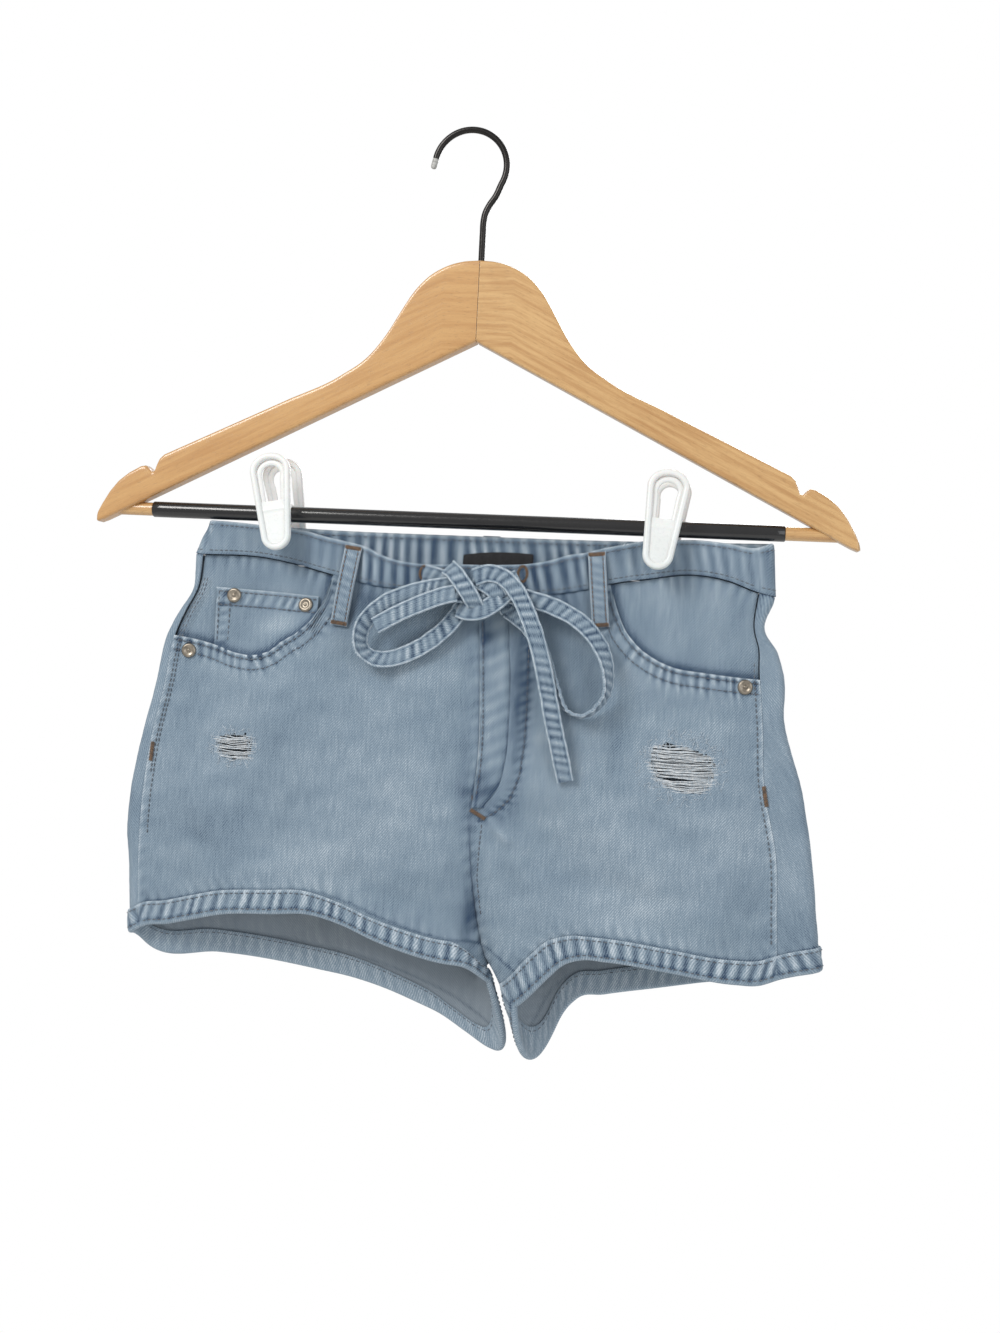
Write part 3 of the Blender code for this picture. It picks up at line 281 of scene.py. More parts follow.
def silhouette(side, v):
    """x of the flattened garment's outline on one side, at v."""
    return level("left" if side < 0 else "right", v)


def depth(face, reach, v):
    """Distance from the middle plane at a cloth length reach in from the side fold: round
    the fold first, then the soft swell in which the two faces part."""
    radius = level("fold", v)
    round_fold = radius * np.sin(np.clip(reach / radius, 0, math.pi / 2))
    swell = smooth((reach - radius - level("together", v)) / level("growth", v))
    return round_fold + (level(face, v) - radius) * swell


def inward(reach, v):
    """Distance in from the silhouette at a cloth length reach from the side fold."""
    radius = level("fold", v)
    turned = radius * (1 - np.cos(np.clip(reach / radius, 0, math.pi / 2)))
    return turned + np.maximum(reach - radius * math.pi / 2, 0)


def reach_of(distance, v):
    """The cloth length whose distance in from the silhouette this is, past the round."""
    return distance + (math.pi / 2 - 1) * level("fold", v)


def seam_reach(side, v):
    """Cloth length from the side fold to the side seam, at v."""
    return level("seam_left" if side < 0 else "seam_right", v)


def face_point(face, side, t, v):
    """The face and wrap of a panel. t is 0 to 1 over the face; on a back panel 1 to 2 goes
    on from the fold to the side seam."""
    start = ease(v, RUNS[face, side]["v"], RUNS[face, side]["start"])
    edge = silhouette(side, v)
    full = reach_of(np.abs(edge - start), v)
    if face == "front":
        reach = full + (seam_reach(side, v) - full) * t
        sign = -1.0
    else:
        reach = np.where(t <= 1, full * (1 - t), seam_reach(side, v) * (t - 1))
        sign = np.where(t <= 1, 1.0, -1.0)
    x = edge - side * inward(reach, v)
    deep = np.where(sign > 0, depth("back", reach, v), depth("front", reach, v))
    return x, sign * deep, sign


def face_surface(face, side, t, v):
    """face_point with its height: a straight rule from the waist seam to the hem."""
    x, y, sign = face_point(face, side, t, v)
    x_waist = face_point(face, side, t, np.zeros_like(v))[0]
    x_hem = face_point(face, side, t, np.ones_like(v))[0]
    behind = sign > 0
    waist = np.where(
        behind,
        ease(x_waist, WAIST_BACK["x"], WAIST_BACK["z"]),
        ease(x_waist, WAIST_FRONT["x"], WAIST_FRONT["z"]),
    )
    hem = np.where(
        behind,
        ease(x_hem, HEM_BACK["x"], HEM_BACK["z"]),
        ease(x_hem, HEM_FRONT["x"], HEM_FRONT["z"]),
    )
    return np.stack([x, y, waist + (hem - waist) * v], -1)


def crotch_seam(face, side, v):
    """The centre seam down to the crotch point, then the inseam."""
    rows = CENTRE_FRONT if face == "front" else CENTRE_BACK
    centre = np.stack([ease(v, rows["v"], rows[k]) for k in "xyz"], -1)
    crotch = np.array([rows[k][-1] for k in "xyz"])
    down = np.clip((v - CROTCH_V) / (1 - CROTCH_V), 0, 1)[..., None]
    inseam = crotch + (np.array(INSEAM_END[side]) - crotch) * down
    return np.where((v <= CROTCH_V)[..., None], centre, inseam)


def creases(points, back):
    """How far the largest folds stand out at these points."""
    total = np.zeros(points.shape[:-1])
    for k in range(len(FOLDS["x0"])):
        if bool(FOLDS["back"][k]) != back:
            continue
        a = np.array([FOLDS["x0"][k], FOLDS["z0"][k]])
        line = np.array([FOLDS["x1"][k], FOLDS["z1"][k]]) - a
        offset = points[..., [0, 2]] - a
        along = offset @ line / (line @ line)
        off = offset - np.clip(along, 0, 1)[..., None] * line
        apart = np.sqrt((off**2).sum(-1))
        total += FOLDS["height"][k] * np.exp(-((apart / FOLDS["width"][k]) ** 2))
    return total


def panel(face, side, s, v):
    """A panel's middle surface, in mm."""
    s, v = np.broadcast_arrays(np.asarray(s, float), np.asarray(v, float))
    if face == "front":
        t = (s - INNER) / (1 - INNER)
    else:
        t = np.where(s < FACE, (s - INNER) / (FACE - INNER), 1 + (s - FACE) / (1 - FACE))
    on_face = face_surface(face, side, np.clip(t, 0, 2), v)
    rows = RUNS[face, side]
    zero, step = np.zeros_like(v), np.full_like(v, 0.01)
    end = face_surface(face, side, zero, v)
    leaving = face_surface(face, side, step, v) - end
    pull = ease(v, rows["v"], rows["pull"])[..., None]
    leaving *= pull / np.linalg.norm(leaving, axis=-1, keepdims=True)
    aim = np.stack([ease(v, rows["v"], rows[k]) for k in "xyz"], -1)
    aim *= pull / np.linalg.norm(aim, axis=-1, keepdims=True)
    u = np.clip(s / INNER, 0, 1)[..., None]
    seam = crotch_seam(face, side, v)
    run = (2 * u**3 - 3 * u**2 + 1) * seam + (3 * u**2 - 2 * u**3) * end
    run += (u**3 - 2 * u**2 + u) * aim + (u**3 - u**2) * leaving
    points = np.where((s < INNER)[..., None], run, on_face)
    away = smooth(v / 0.12) * smooth(s / INNER) * smooth((1 - s) / 0.12)
    points[..., 1] += (1 if face == "back" else -1) * creases(points, face == "back") * away
    return points


def normal(face, side, s, v):
    """Unit normals, outwards. A panel and its neighbour share theirs along a seam, so that
    their edges are mitred."""
    s, v = np.broadcast_arrays(np.asarray(s, float), np.asarray(v, float))

    def plain(one_face, one_side, s, v):
        h = 1e-4
        s, v = np.clip(s, h, 1 - h), np.clip(v, h, 1 - h)
        ds = panel(one_face, one_side, s + h, v) - panel(one_face, one_side, s - h, v)
        dv = panel(one_face, one_side, s, v + h) - panel(one_face, one_side, s, v - h)
        out = np.cross(ds, dv) * one_side * (-1 if one_face == "front" else 1)
        return out / np.linalg.norm(out, axis=-1, keepdims=True)

    own = plain(face, side, s, v)
    other_face = "back" if face == "front" else "front"
    over_centre = plain(face, -side, s, v)
    over_seam = plain(other_face, side, s, v)
    beside = np.where((v < CROTCH_V)[..., None], over_centre, over_seam)
    both = np.where((s < 1e-6)[..., None], own + beside, own + over_seam)
    both /= np.linalg.norm(both, axis=-1, keepdims=True)
    shared = ((s < 1e-6) | (s > 1 - 1e-6))[..., None]
    return np.where(shared, both, own)


def band_point(face, u, h):
    """The waistband's middle surface. u is -1 to 1 from side seam to side seam, h 0 at the
    waist seam to 1 at the top edge."""
    u, h = np.broadcast_arrays(np.asarray(u, float), np.asarray(h, float))
    s = np.abs(u)
    below = np.where(
        (u < 0)[..., None], panel(face, -1, s, 0 * s), panel(face, 1, s, 0 * s)
    )
    top = below.copy()
    for side in (-1, 1):
        here = u < 0 if side < 0 else u >= 0
        reach = np.abs(BAND_TOP_SPAN[side] - BAND_MIDDLE_X)
        scale = reach / np.abs(silhouette(side, 0.0) - BAND_MIDDLE_X)
        x = BAND_MIDDLE_X + (below[..., 0] - BAND_MIDDLE_X) * scale
        top[..., 0] = np.where(here, x, top[..., 0])
    swell = 1 + (BAND_LEAN_OUT - 1) * smooth((np.abs(top[..., 1]) - 3.5) / 4)
    top[..., 1] *= swell
    front_z = ease(top[..., 0], BAND_TOP_FRONT["x"], BAND_TOP_FRONT["z"])
    back_z = ease(top[..., 0], BAND_TOP_BACK["x"], BAND_TOP_BACK["z"])
    top[..., 2] = np.where(top[..., 1] < 0, front_z, back_z)
    return below + (top - below) * h[..., None]


def band_normal(face, u, h):
    """Unit normals of a waistband, outwards."""
    step = 1e-4
    u, h = np.broadcast_arrays(np.asarray(u, float), np.asarray(h, float))
    u, h = np.clip(u, step - 1, 1 - step), np.clip(h, step, 1 - step)
    du = band_point(face, u + step, h) - band_point(face, u - step, h)
    dh = band_point(face, u, h + step) - band_point(face, u, h - step)
    out = np.cross(du, dh) * (1 if face == "front" else -1)
    return out / np.linalg.norm(out, axis=-1, keepdims=True)


def find(face, side, x, z):
    """(s, v) of a panel's point that shows at (x, z), by Newton's method."""
    x, z = np.broadcast_arrays(np.asarray(x, float), np.asarray(z, float))
    s = INNER + (1 - INNER) * np.clip((x - 20 * side) / (side * 150), 0.02, 0.98)
    v = np.clip((-258 - z) / DROP, 0.02, 0.98)
    h = 1e-4
    for _ in range(12):
        here = panel(face, side, s, v)
        ds = (panel(face, side, s + h, v) - here) / h
        dv = (panel(face, side, s, v + h) - here) / h
        ex, ez = x - here[..., 0], z - here[..., 2]
        det = ds[..., 0] * dv[..., 2] - ds[..., 2] * dv[..., 0]
        s = np.clip(s + 0.8 * (ex * dv[..., 2] - ez * dv[..., 0]) / det, 0.001, 0.999)
        v = np.clip(v + 0.8 * (ds[..., 0] * ez - ds[..., 2] * ex) / det, 0.0, 0.999)
    return s, v


def mouth_level(side, s):
    """v at which the pocket mouth crosses each column s, 0 where it doesn't."""
    rows = POCKET_MOUTH[side]
    v = np.full_like(s, 0.1)
    for _ in range(30):
        here = panel("front", side, s, v)
        mouth = ease(here[..., 0], rows["x"], rows["z"])
        top = ease(here[..., 0], WAIST_FRONT["x"], WAIST_FRONT["z"])
        v = np.clip(v + 0.6 * (here[..., 2] - np.minimum(mouth, top)) / DROP, 0, 0.6)
    x = panel("front", side, s, v)[..., 0]
    outside = x < rows["x"][-1] if side < 0 else x > rows["x"][0]
    return np.where(outside, v, 0.0)



# ----------------------------------------------------------------------- mesh and objects
def place(points):
    """From the tables' frame in mm to the part's frame in metres."""
    return (np.asarray(points, float) + (SHANK_X, 0.0, TABLE_Z)) * 0.001


def grid_faces(rows, columns, first=0, round_rows=False, round_columns=False):
    """The quads of a grid of points, row by row; round_ joins the last line to the first."""
    i = np.arange(rows if round_rows else rows - 1)[:, None]
    j = np.arange(columns if round_columns else columns - 1)[None, :]
    below, right = (i + 1) % rows, (j + 1) % columns
    corners = (i * columns + j, i * columns + right, below * columns + right, below * columns + j)
    return np.stack(np.broadcast_arrays(*corners), -1).reshape(-1, 4) + first


def build(name, points, faces, finishes, uv=None, wear_and_shade=None, which=None, sharp=None):
    """An object from points in mm and a list of face arrays, each (count, corners). uv and
    wear are per point, the wear with painted shade and highlight in it; which gives each face's finish,
    sharp an angle in degrees."""
    mesh = bpy.data.meshes.new(name)
    points = place(points).reshape(-1, 3)
    corners = np.concatenate([f.reshape(-1) for f in faces]).astype(np.int32)
    sizes = np.concatenate([np.full(len(f), f.shape[1]) for f in faces]).astype(np.int32)
    mesh.vertices.add(len(points))
    mesh.vertices.foreach_set("co", points.astype(np.float32).ravel())
    mesh.loops.add(len(corners))
    mesh.loops.foreach_set("vertex_index", corners)
    mesh.polygons.add(len(sizes))
    mesh.polygons.foreach_set("loop_start", (np.cumsum(sizes) - sizes).astype(np.int32))
    mesh.polygons.foreach_set("loop_total", sizes)
    for finish in finishes:
        mesh.materials.append(FINISHES[finish])
    if which is not None:
        mesh.polygons.foreach_set("material_index", np.asarray(which, np.int32))
    mesh.update()
    if volume(points, faces) < 0:
        mesh.flip_normals()
    if uv is not None:
        layer = mesh.uv_layers.new(name="cloth")
        order = np.empty(len(corners), np.int32)
        mesh.loops.foreach_get("vertex_index", order)
        layer.data.foreach_set("uv", uv.reshape(-1, 2)[order].astype(np.float32).ravel())
    if wear_and_shade is not None:
        held = mesh.attributes.new("wear_and_shade", "FLOAT", "POINT")
        held.data.foreach_set("value", np.clip(wear_and_shade, 0, 1).astype(np.float32).ravel())
    mesh.shade_smooth()
    if sharp:
        mesh.set_sharp_from_angle(angle=math.radians(sharp))
    made = bpy.data.objects.new(name, mesh)
    bpy.context.scene.collection.objects.link(made)
    return made


def volume(points, faces):
    """Six times the signed volume inside a closed mesh: each face as a fan of triangles."""
    total = 0.0
    middle = points.mean(axis=0)
    for f in faces:
        a = points[f[:, 0]] - middle
        for k in range(1, f.shape[1] - 1):
            b, c = points[f[:, k]] - middle, points[f[:, k + 1]] - middle
            total += (a * np.cross(b, c)).sum()
    return total


def dress(piece, slot, *nodes, body="root"):
    """A finished piece rides on the part and stands for CAD nodes; its slot is not used."""
    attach(piece, body)
    if nodes:
        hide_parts(*nodes)
    return piece


def shell(name, middle, normals, thick, finishes, uv, wear_and_shade, keep=None):
    """A wall of cloth round a grid of points: one grid half a thickness out, one as far in,
    and rims round its border and round each cell that keep leaves out. finishes are the
    outside's and, where it differs, the inside's."""
    rows, columns = middle.shape[:2]
    thick = np.broadcast_to(np.asarray(thick, float), (rows, columns))[..., None]
    out, back = middle + normals * thick / 2, middle - normals * thick / 2
    count = rows * columns
    points = np.concatenate([out.reshape(-1, 3), back.reshape(-1, 3)])
    if keep is None:
        keep = np.ones((rows - 1, columns - 1), bool)
    front = grid_faces(rows, columns)[keep.ravel()]
    behind = front[:, ::-1] + count
    number = np.arange(count).reshape(rows, columns)
    wide = np.pad(keep, 1)
    rims = []
    for axis in (0, 1):
        step = np.diff(wide.astype(int), axis=axis)
        step = step[:, 1:-1] if axis == 0 else step[1:-1, :]
        for sign in (1, -1):
            i, j = np.nonzero(step == sign)
            a = number[i, j]
            b = number[i, j + 1] if axis == 0 else number[i + 1, j]
            rim = np.stack([a, b, b + count, a + count], -1)
            rims.append(rim if (sign > 0) != (axis == 0) else rim[:, ::-1])
    rim = np.concatenate(rims)
    which = np.zeros(len(front) * 2 + len(rim), int)
    which[len(front): 2 * len(front)] = len(finishes) - 1
    uv, wear_and_shade = (np.concatenate([a, a]) for a in (uv.reshape(-1, 2), wear_and_shade.reshape(-1)))
    return build(name, points, [front, behind, rim], finishes, uv, wear_and_shade, which, sharp=50)


def frames(path, out):
    """Unit directions along a path, square to it towards out, and across."""
    along = np.gradient(path, axis=0)
    along /= np.linalg.norm(along, axis=-1, keepdims=True)
    out = np.broadcast_to(np.asarray(out, float), path.shape)
    out = out - (out * along).sum(-1, keepdims=True) * along
    out /= np.linalg.norm(out, axis=-1, keepdims=True)
    return along, out, np.cross(along, out)


def swept(path, out, across, profile, size_out, size_across):
    """A closed profile of (across, out) carried along a path, its two ends drawn to a point."""
    ring = across[:, None] * (profile[:, 0] * np.asarray(size_across)[..., None])[..., None]
    ring = ring + out[:, None] * (profile[:, 1] * np.asarray(size_out)[..., None])[..., None]
    points = path[:, None] + ring
    sides = len(profile)
    faces = [grid_faces(len(path), sides, round_columns=True)]
    k = np.arange(sides)
    last = (len(path) - 1) * sides
    tip = len(path) * sides
    faces.append(np.stack([k, np.full(sides, tip), (k + 1) % sides], -1))
    faces.append(np.stack([k + last, (k + 1) % sides + last, np.full(sides, tip + 1)], -1))
    return np.concatenate([points.reshape(-1, 3), path[[0, -1]]]), faces


def joined(parts):
    """Several (points, faces) as one, faces of a size together."""
    points, sizes, first = [], {}, 0
    for some, faces in parts:
        for f in faces:
            sizes.setdefault(f.shape[1], []).append(f + first)
        points.append(some)
        first += len(some)
    return np.concatenate(points), [np.concatenate(f) for f in sizes.values()]


def circle(sides):
    """Points of a unit circle."""
    turn = np.linspace(0, 2 * math.pi, sides, endpoint=False)
    return np.stack([np.cos(turn), np.sin(turn)], -1)


def along_path(path, count=None, pitch=None):
    """A path read again at even steps of its length."""
    steps = np.linalg.norm(np.diff(path, axis=0), axis=-1)
    length = np.concatenate([[0], np.cumsum(steps)])
    if count is None:
        count = max(2, int(round(length[-1] / pitch)) + 1)
    at = np.linspace(0, length[-1], count)
    return np.stack([np.interp(at, length, column) for column in path.T], -1)


def curve_through(rows, count):
    """A smooth curve through rows of numbers, a cubic of each column over the chord."""
    rows = np.array(rows, float)
    steps = np.linalg.norm(np.diff(rows[:, :3], axis=0), axis=-1)
    knots = np.concatenate([[0], np.cumsum(steps)])
    at = np.linspace(0, knots[-1], count)
    return np.stack([ease(at, knots, column) for column in rows.T], -1)


# ----------------------------------------------------------------- unevenness of the cloth
def unevenness(x, z, size, seed, waves=9):
    """Soft unevenness about -1 to 1: sines in many directions, about size mm from crest to
    crest, with headings and phases drawn from a seed."""
    draw = np.random.default_rng(seed)
    heading, phase = draw.uniform(0, 2 * math.pi, (2, waves))
    length = size * draw.uniform(0.6, 1.8, waves)
    total = 0.0
    for h, p, span in zip(heading, phase, length):
        total = total + np.sin(2 * math.pi * (x * math.cos(h) + z * math.sin(h)) / span + p)
    return total / math.sqrt(waves * 1.6)


def wobble(at, size, seed):
    """unevenness along one line."""
    return unevenness(at, 0 * at, size, seed, waves=5)


def ribs(at, pitch, seed, crisp=1.5):
    """Ridges (1) and valleys (-1) a pitch apart on average, drifting and of uneven height."""
    phase = 2 * math.pi * at / pitch + 1.5 * wobble(at, 4.3 * pitch, seed)
    height = 0.72 + 0.28 * wobble(at, 2.9 * pitch, seed + 50)
    return np.tanh(crisp * np.sin(phase)) / math.tanh(crisp) * height


def beside(x, z, line):
    """Each point's nearest place on a line of (x, z) points: how far along, and how far off,
    positive on the left of its direction."""
    line = np.asarray(line, float)
    a, d = line[:-1], np.diff(line, axis=0)
    length = np.hypot(*d.T)
    start = np.cumsum(length) - length
    px, pz = x[..., None] - a[:, 0], z[..., None] - a[:, 1]
    t = np.clip((px * d[:, 0] + pz * d[:, 1]) / length**2, 0, 1)
    ox, oz = px - t * d[:, 0], pz - t * d[:, 1]
    apart = np.hypot(ox, oz)
    k = apart.argmin(-1)[..., None]
    side = np.take_along_axis(np.sign(d[:, 0] * oz - d[:, 1] * ox), k, -1)[..., 0]
    along = np.take_along_axis(start + t * length, k, -1)[..., 0]
    return along, side * np.take_along_axis(apart, k, -1)[..., 0]


def line_of(rows, names="xz", count=60):
    """A smooth line of (x, z) points through a table's columns."""
    a, b = rows[names[0]], rows[names[1]]
    at = np.linspace(a[0], a[-1], count)
    line = np.stack([at, ease(at, a, b)], -1)
    return line if names[0] == "x" else line[:, ::-1]


def offset_line(line, by):
    """A line moved sideways, to the left of its direction where by is positive."""
    d = np.gradient(line, axis=0)
    d /= np.linalg.norm(d, axis=-1, keepdims=True)
    return line + np.stack([-d[:, 1], d[:, 0]], -1) * by


# ------------------------------------------------------------------------------- finishes
# The deep and pale ends match the cloth's shaded valleys and lit crests, so the colour ramp paints shade and
# highlight as well as the wash.
DEEP, MID, PALE = (0.030, 0.058, 0.110), (0.205, 0.275, 0.345), (0.530, 0.600, 0.660)
INSIDE_DEEP, INSIDE_MID = (0.115, 0.150, 0.190), (0.245, 0.290, 0.335)
INSIDE_PALE = (0.480, 0.530, 0.570)


def add_node(tree, kind, inputs=None, **settings):
    """A node with its settings; inputs are values, or the sockets that feed them."""
    made = tree.nodes.new(kind)
    for key, value in settings.items():
        setattr(made, key, value)
    for key, value in (inputs or {}).items():
        if isinstance(value, bpy.types.NodeSocket):
            tree.links.new(value, made.inputs[key])
        else:
            made.inputs[key].default_value = value
    return made


def calc(tree, operation, *values):
    """The output of a Math node on these values or sockets."""
    made = add_node(tree, "ShaderNodeMath", dict(enumerate(values)), operation=operation)
    return made.outputs[0]


def mix_colour(tree, share, a, b, blend="MIX"):
    """The output of a colour mix of a and b by share."""
    made = add_node(tree, "ShaderNodeMix", {0: share, 6: a, 7: b}, data_type="RGBA", blend_type=blend)
    return made.outputs[2]


def spread(tree, value, low, high, to_low=0.0, to_high=1.0):
    """A value eased from one range to another."""
    made = add_node(
        tree, "ShaderNodeMapRange",
        {"Value": value, "From Min": low, "From Max": high, "To Min": to_low, "To Max": to_high},
        interpolation_type="SMOOTHSTEP",
    )
    return made.outputs["Result"]


def noise(tree, vector, scale, detail=2.0, roughness=0.5):
    """The value of a noise texture at a vector."""
    made = add_node(
        tree, "ShaderNodeTexNoise",
        {"Vector": vector, "Scale": scale, "Detail": detail, "Roughness": roughness},
    )
    return made.outputs["Fac"]


def group_of(name, ins, outs):
    """An empty node group with named sockets, its input node and its output node."""
    tree = bpy.data.node_groups.new(name, "ShaderNodeTree")
    for label, kind in ins.items():
        tree.interface.new_socket(label, in_out="INPUT", socket_type=kind)
    for label, kind in outs.items():
        tree.interface.new_socket(label, in_out="OUTPUT", socket_type=kind)
    return tree, tree.nodes.new("NodeGroupInput"), tree.nodes.new("NodeGroupOutput")


def twill_group():
    """Denim twill on the cloth's own UV map, one unit to 100 mm: fine lines that rise to
    the right, broken where each warp thread dips, with slubs and salt-and-pepper."""
    ins = {"Pitch": "NodeSocketFloat", "Slope": "NodeSocketFloat"}
    outs = {"Thread": "NodeSocketFloat", "Height": "NodeSocketFloat"}
    tree, given, result = group_of("denim twill", ins, outs)
    uv = add_node(tree, "ShaderNodeUVMap", uv_map="cloth").outputs[0]
    mm = add_node(tree, "ShaderNodeVectorMath", {0: uv, "Scale": 100.0}, operation="SCALE")
    split = add_node(tree, "ShaderNodeSeparateXYZ", {0: mm.outputs[0]})
    across, up = split.outputs[0], split.outputs[1]
    lean = calc(tree, "MULTIPLY", across, given.outputs["Slope"])
    step = calc(tree, "DIVIDE", calc(tree, "SUBTRACT", lean, up), given.outputs["Pitch"])
    drift = calc(tree, "MULTIPLY", noise(tree, mm.outputs[0], 0.16, 2.0), 1.2)
    wave = calc(tree, "SINE", calc(tree, "MULTIPLY", calc(tree, "ADD", step, drift), 2 * math.pi))
    dip = calc(tree, "SINE", calc(tree, "MULTIPLY", across, 2 * math.pi / 0.85))
    slub_at = add_node(tree, "ShaderNodeVectorMath", {0: mm.outputs[0], 1: (1.0, 0.09, 1.0)},
                       operation="MULTIPLY").outputs[0]
    slub = noise(tree, slub_at, 0.75, 3.0, 0.6)
    pepper = noise(tree, mm.outputs[0], 1.15, 2.0, 0.7)
    lines = calc(tree, "MULTIPLY_ADD", wave, 0.30, 0.5)
    broken = calc(tree, "MULTIPLY_ADD", dip, 0.10, lines)
    spotted = calc(tree, "ADD", broken, calc(tree, "MULTIPLY_ADD", pepper, 1.3, -0.65))
    slubbed = calc(tree, "ADD", spotted, calc(tree, "MULTIPLY_ADD", slub, 0.9, -0.45))
    tree.links.new(slubbed, result.inputs["Thread"])
    tree.links.new(calc(tree, "SUBTRACT", broken, calc(tree, "MULTIPLY", pepper, 0.4)),
                   result.inputs["Height"])
    return tree


def wash_group():
    """Denim's colour from its wear and painted light and shade, 0 to 1, and its threads: deep (dark dye and
    painted shade), washed, pale (bleached and painted highlight).
    """
    names = ("Deep", "Washed", "Pale")
    ins = {name: "NodeSocketColor" for name in names}
    ins.update({"Thread": "NodeSocketFloat", "Contrast": "NodeSocketFloat"})
    tree, given, result = group_of("denim wash", ins, {"Color": "NodeSocketColor"})
    wear_and_shade = add_node(tree, "ShaderNodeAttribute", attribute_name="wear_and_shade").outputs["Fac"]
    place_at = add_node(tree, "ShaderNodeTexCoord").outputs["Object"]
    cloud = calc(tree, "MULTIPLY_ADD", noise(tree, place_at, 28.0, 4.0, 0.6), 0.22, -0.11)
    thread = calc(tree, "MULTIPLY", calc(tree, "SUBTRACT", given.outputs["Thread"], 0.5),
                  given.outputs["Contrast"])
    level = calc(tree, "ADD", calc(tree, "ADD", wear_and_shade, cloud), thread)
    low = mix_colour(tree, spread(tree, level, 0.0, 0.5), given.outputs["Deep"], given.outputs["Washed"])
    full = mix_colour(tree, spread(tree, level, 0.5, 1.0), low, given.outputs["Pale"])
    tree.links.new(full, result.inputs["Color"])
    return tree


def use_group(tree, group, **inputs):
    """A node that uses a group, with its inputs set or linked."""
    made = tree.nodes.new("ShaderNodeGroup")
    made.node_tree = group
    for key, value in inputs.items():
        if isinstance(value, bpy.types.NodeSocket):
            tree.links.new(value, made.inputs[key])
        else:
            made.inputs[key].default_value = value
    return made


def finish(name, colour, roughness, metallic=0.0, **sockets):
    """A material whose shader's own sockets hold what is the same all over."""
    made = bpy.data.materials.new(name)
    made.use_nodes = True
    shader = made.node_tree.nodes["Principled BSDF"]
    sockets = {"Base Color": (*colour, 1.0), "Roughness": roughness, "Metallic": metallic, **sockets}
    for key, value in sockets.items():
        shader.inputs[key.replace("_", " ")].default_value = value
    FINISHES[name] = made
    return made.node_tree, shader


def bump(tree, shader, height, strength, distance):
    """Feeds a height to a shader's normal."""
    made = add_node(tree, "ShaderNodeBump", {"Height": height, "Strength": strength, "Distance": distance})
    tree.links.new(made.outputs[0], shader.inputs["Normal"])


def denim_finish(name, deep, washed, pale, pitch, slope, contrast, depth):
    """Denim in three shades, with its twill in colour and in relief."""
    tree, shader = finish(name, washed, 0.92, Sheen_Weight=0.12, Sheen_Roughness=0.5,
                          Specular_IOR_Level=0.2)
    weave = use_group(tree, TWILL, Pitch=pitch, Slope=slope)
    colour = use_group(tree, WASH, Deep=(*deep, 1), Washed=(*washed, 1), Pale=(*pale, 1),
                       Thread=weave.outputs["Thread"], Contrast=contrast)
    tree.links.new(colour.outputs[0], shader.inputs["Base Color"])
    bump(tree, shader, weave.outputs["Height"], depth, 0.0004)


def thread_finish(name, colour, other):
    """Twisted sewing thread: two close shades in fine slanted bands."""
    tree, shader = finish(name, colour, 0.75, Sheen_Weight=0.2)
    at = add_node(tree, "ShaderNodeTexCoord").outputs["Object"]
    twist = noise(tree, at, 900.0, 1.0)
    tree.links.new(mix_colour(tree, spread(tree, twist, 0.35, 0.65), (*colour, 1), (*other, 1)),
                   shader.inputs["Base Color"])
    bump(tree, shader, twist, 0.3, 0.0001)


def wood_finish(name, light, dark, grain_scale, contrast):
    """Varnished light wood: long grain along the arm, short pores and a darker drift."""
    tree, shader = finish(name, light, 0.32, Coat_Weight=0.55, Coat_Roughness=0.12)
    uv = add_node(tree, "ShaderNodeUVMap", uv_map="cloth").outputs[0]
    long = add_node(tree, "ShaderNodeMapping", {"Vector": uv, "Scale": (0.9, 16.0, 1.0)}).outputs[0]
    grain = noise(tree, long, grain_scale, 5.0, 0.65)
    pores_at = add_node(tree, "ShaderNodeMapping", {"Vector": uv, "Scale": (9.0, 95.0, 1.0)}).outputs[0]
    pores = spread(tree, noise(tree, pores_at, 2.2, 2.0, 0.6), 0.56, 0.70)
    drift = noise(tree, uv, 1.3, 2.0)
    tone = calc(tree, "ADD", spread(tree, grain, 0.35, 0.68, 0.0, contrast),
                calc(tree, "MULTIPLY_ADD", drift, 0.5, -0.2))
    base = mix_colour(tree, tone, (*light, 1), (*dark, 1))
    marked = mix_colour(tree, calc(tree, "MULTIPLY", pores, 0.35), base, (*[c * 0.5 for c in dark], 1))
    tree.links.new(marked, shader.inputs["Base Color"])
    bump(tree, shader, calc(tree, "SUBTRACT", grain, pores), 0.12, 0.0003)


def plain_finish(name, colour, roughness, metallic=0.0, mottle=0.15, scale=60.0, **sockets):
    """Metal or plastic with slight clouding and fine scuffs in its gloss."""
    tree, shader = finish(name, colour, roughness, metallic, **sockets)
    at = add_node(tree, "ShaderNodeTexCoord").outputs["Object"]
    cloud = noise(tree, at, scale, 4.0, 0.6)
    darker = tuple(c * (1 - mottle) for c in colour)
    tree.links.new(mix_colour(tree, spread(tree, cloud, 0.3, 0.7), (*colour, 1), (*darker, 1)),
                   shader.inputs["Base Color"])
    scuffs = noise(tree, at, scale * 14, 3.0, 0.7)
    rough = spread(tree, scuffs, 0.3, 0.75, roughness * 0.8, min(1.0, roughness * 1.35))
    tree.links.new(rough, shader.inputs["Roughness"])
    bump(tree, shader, scuffs, 0.08, 0.0001)


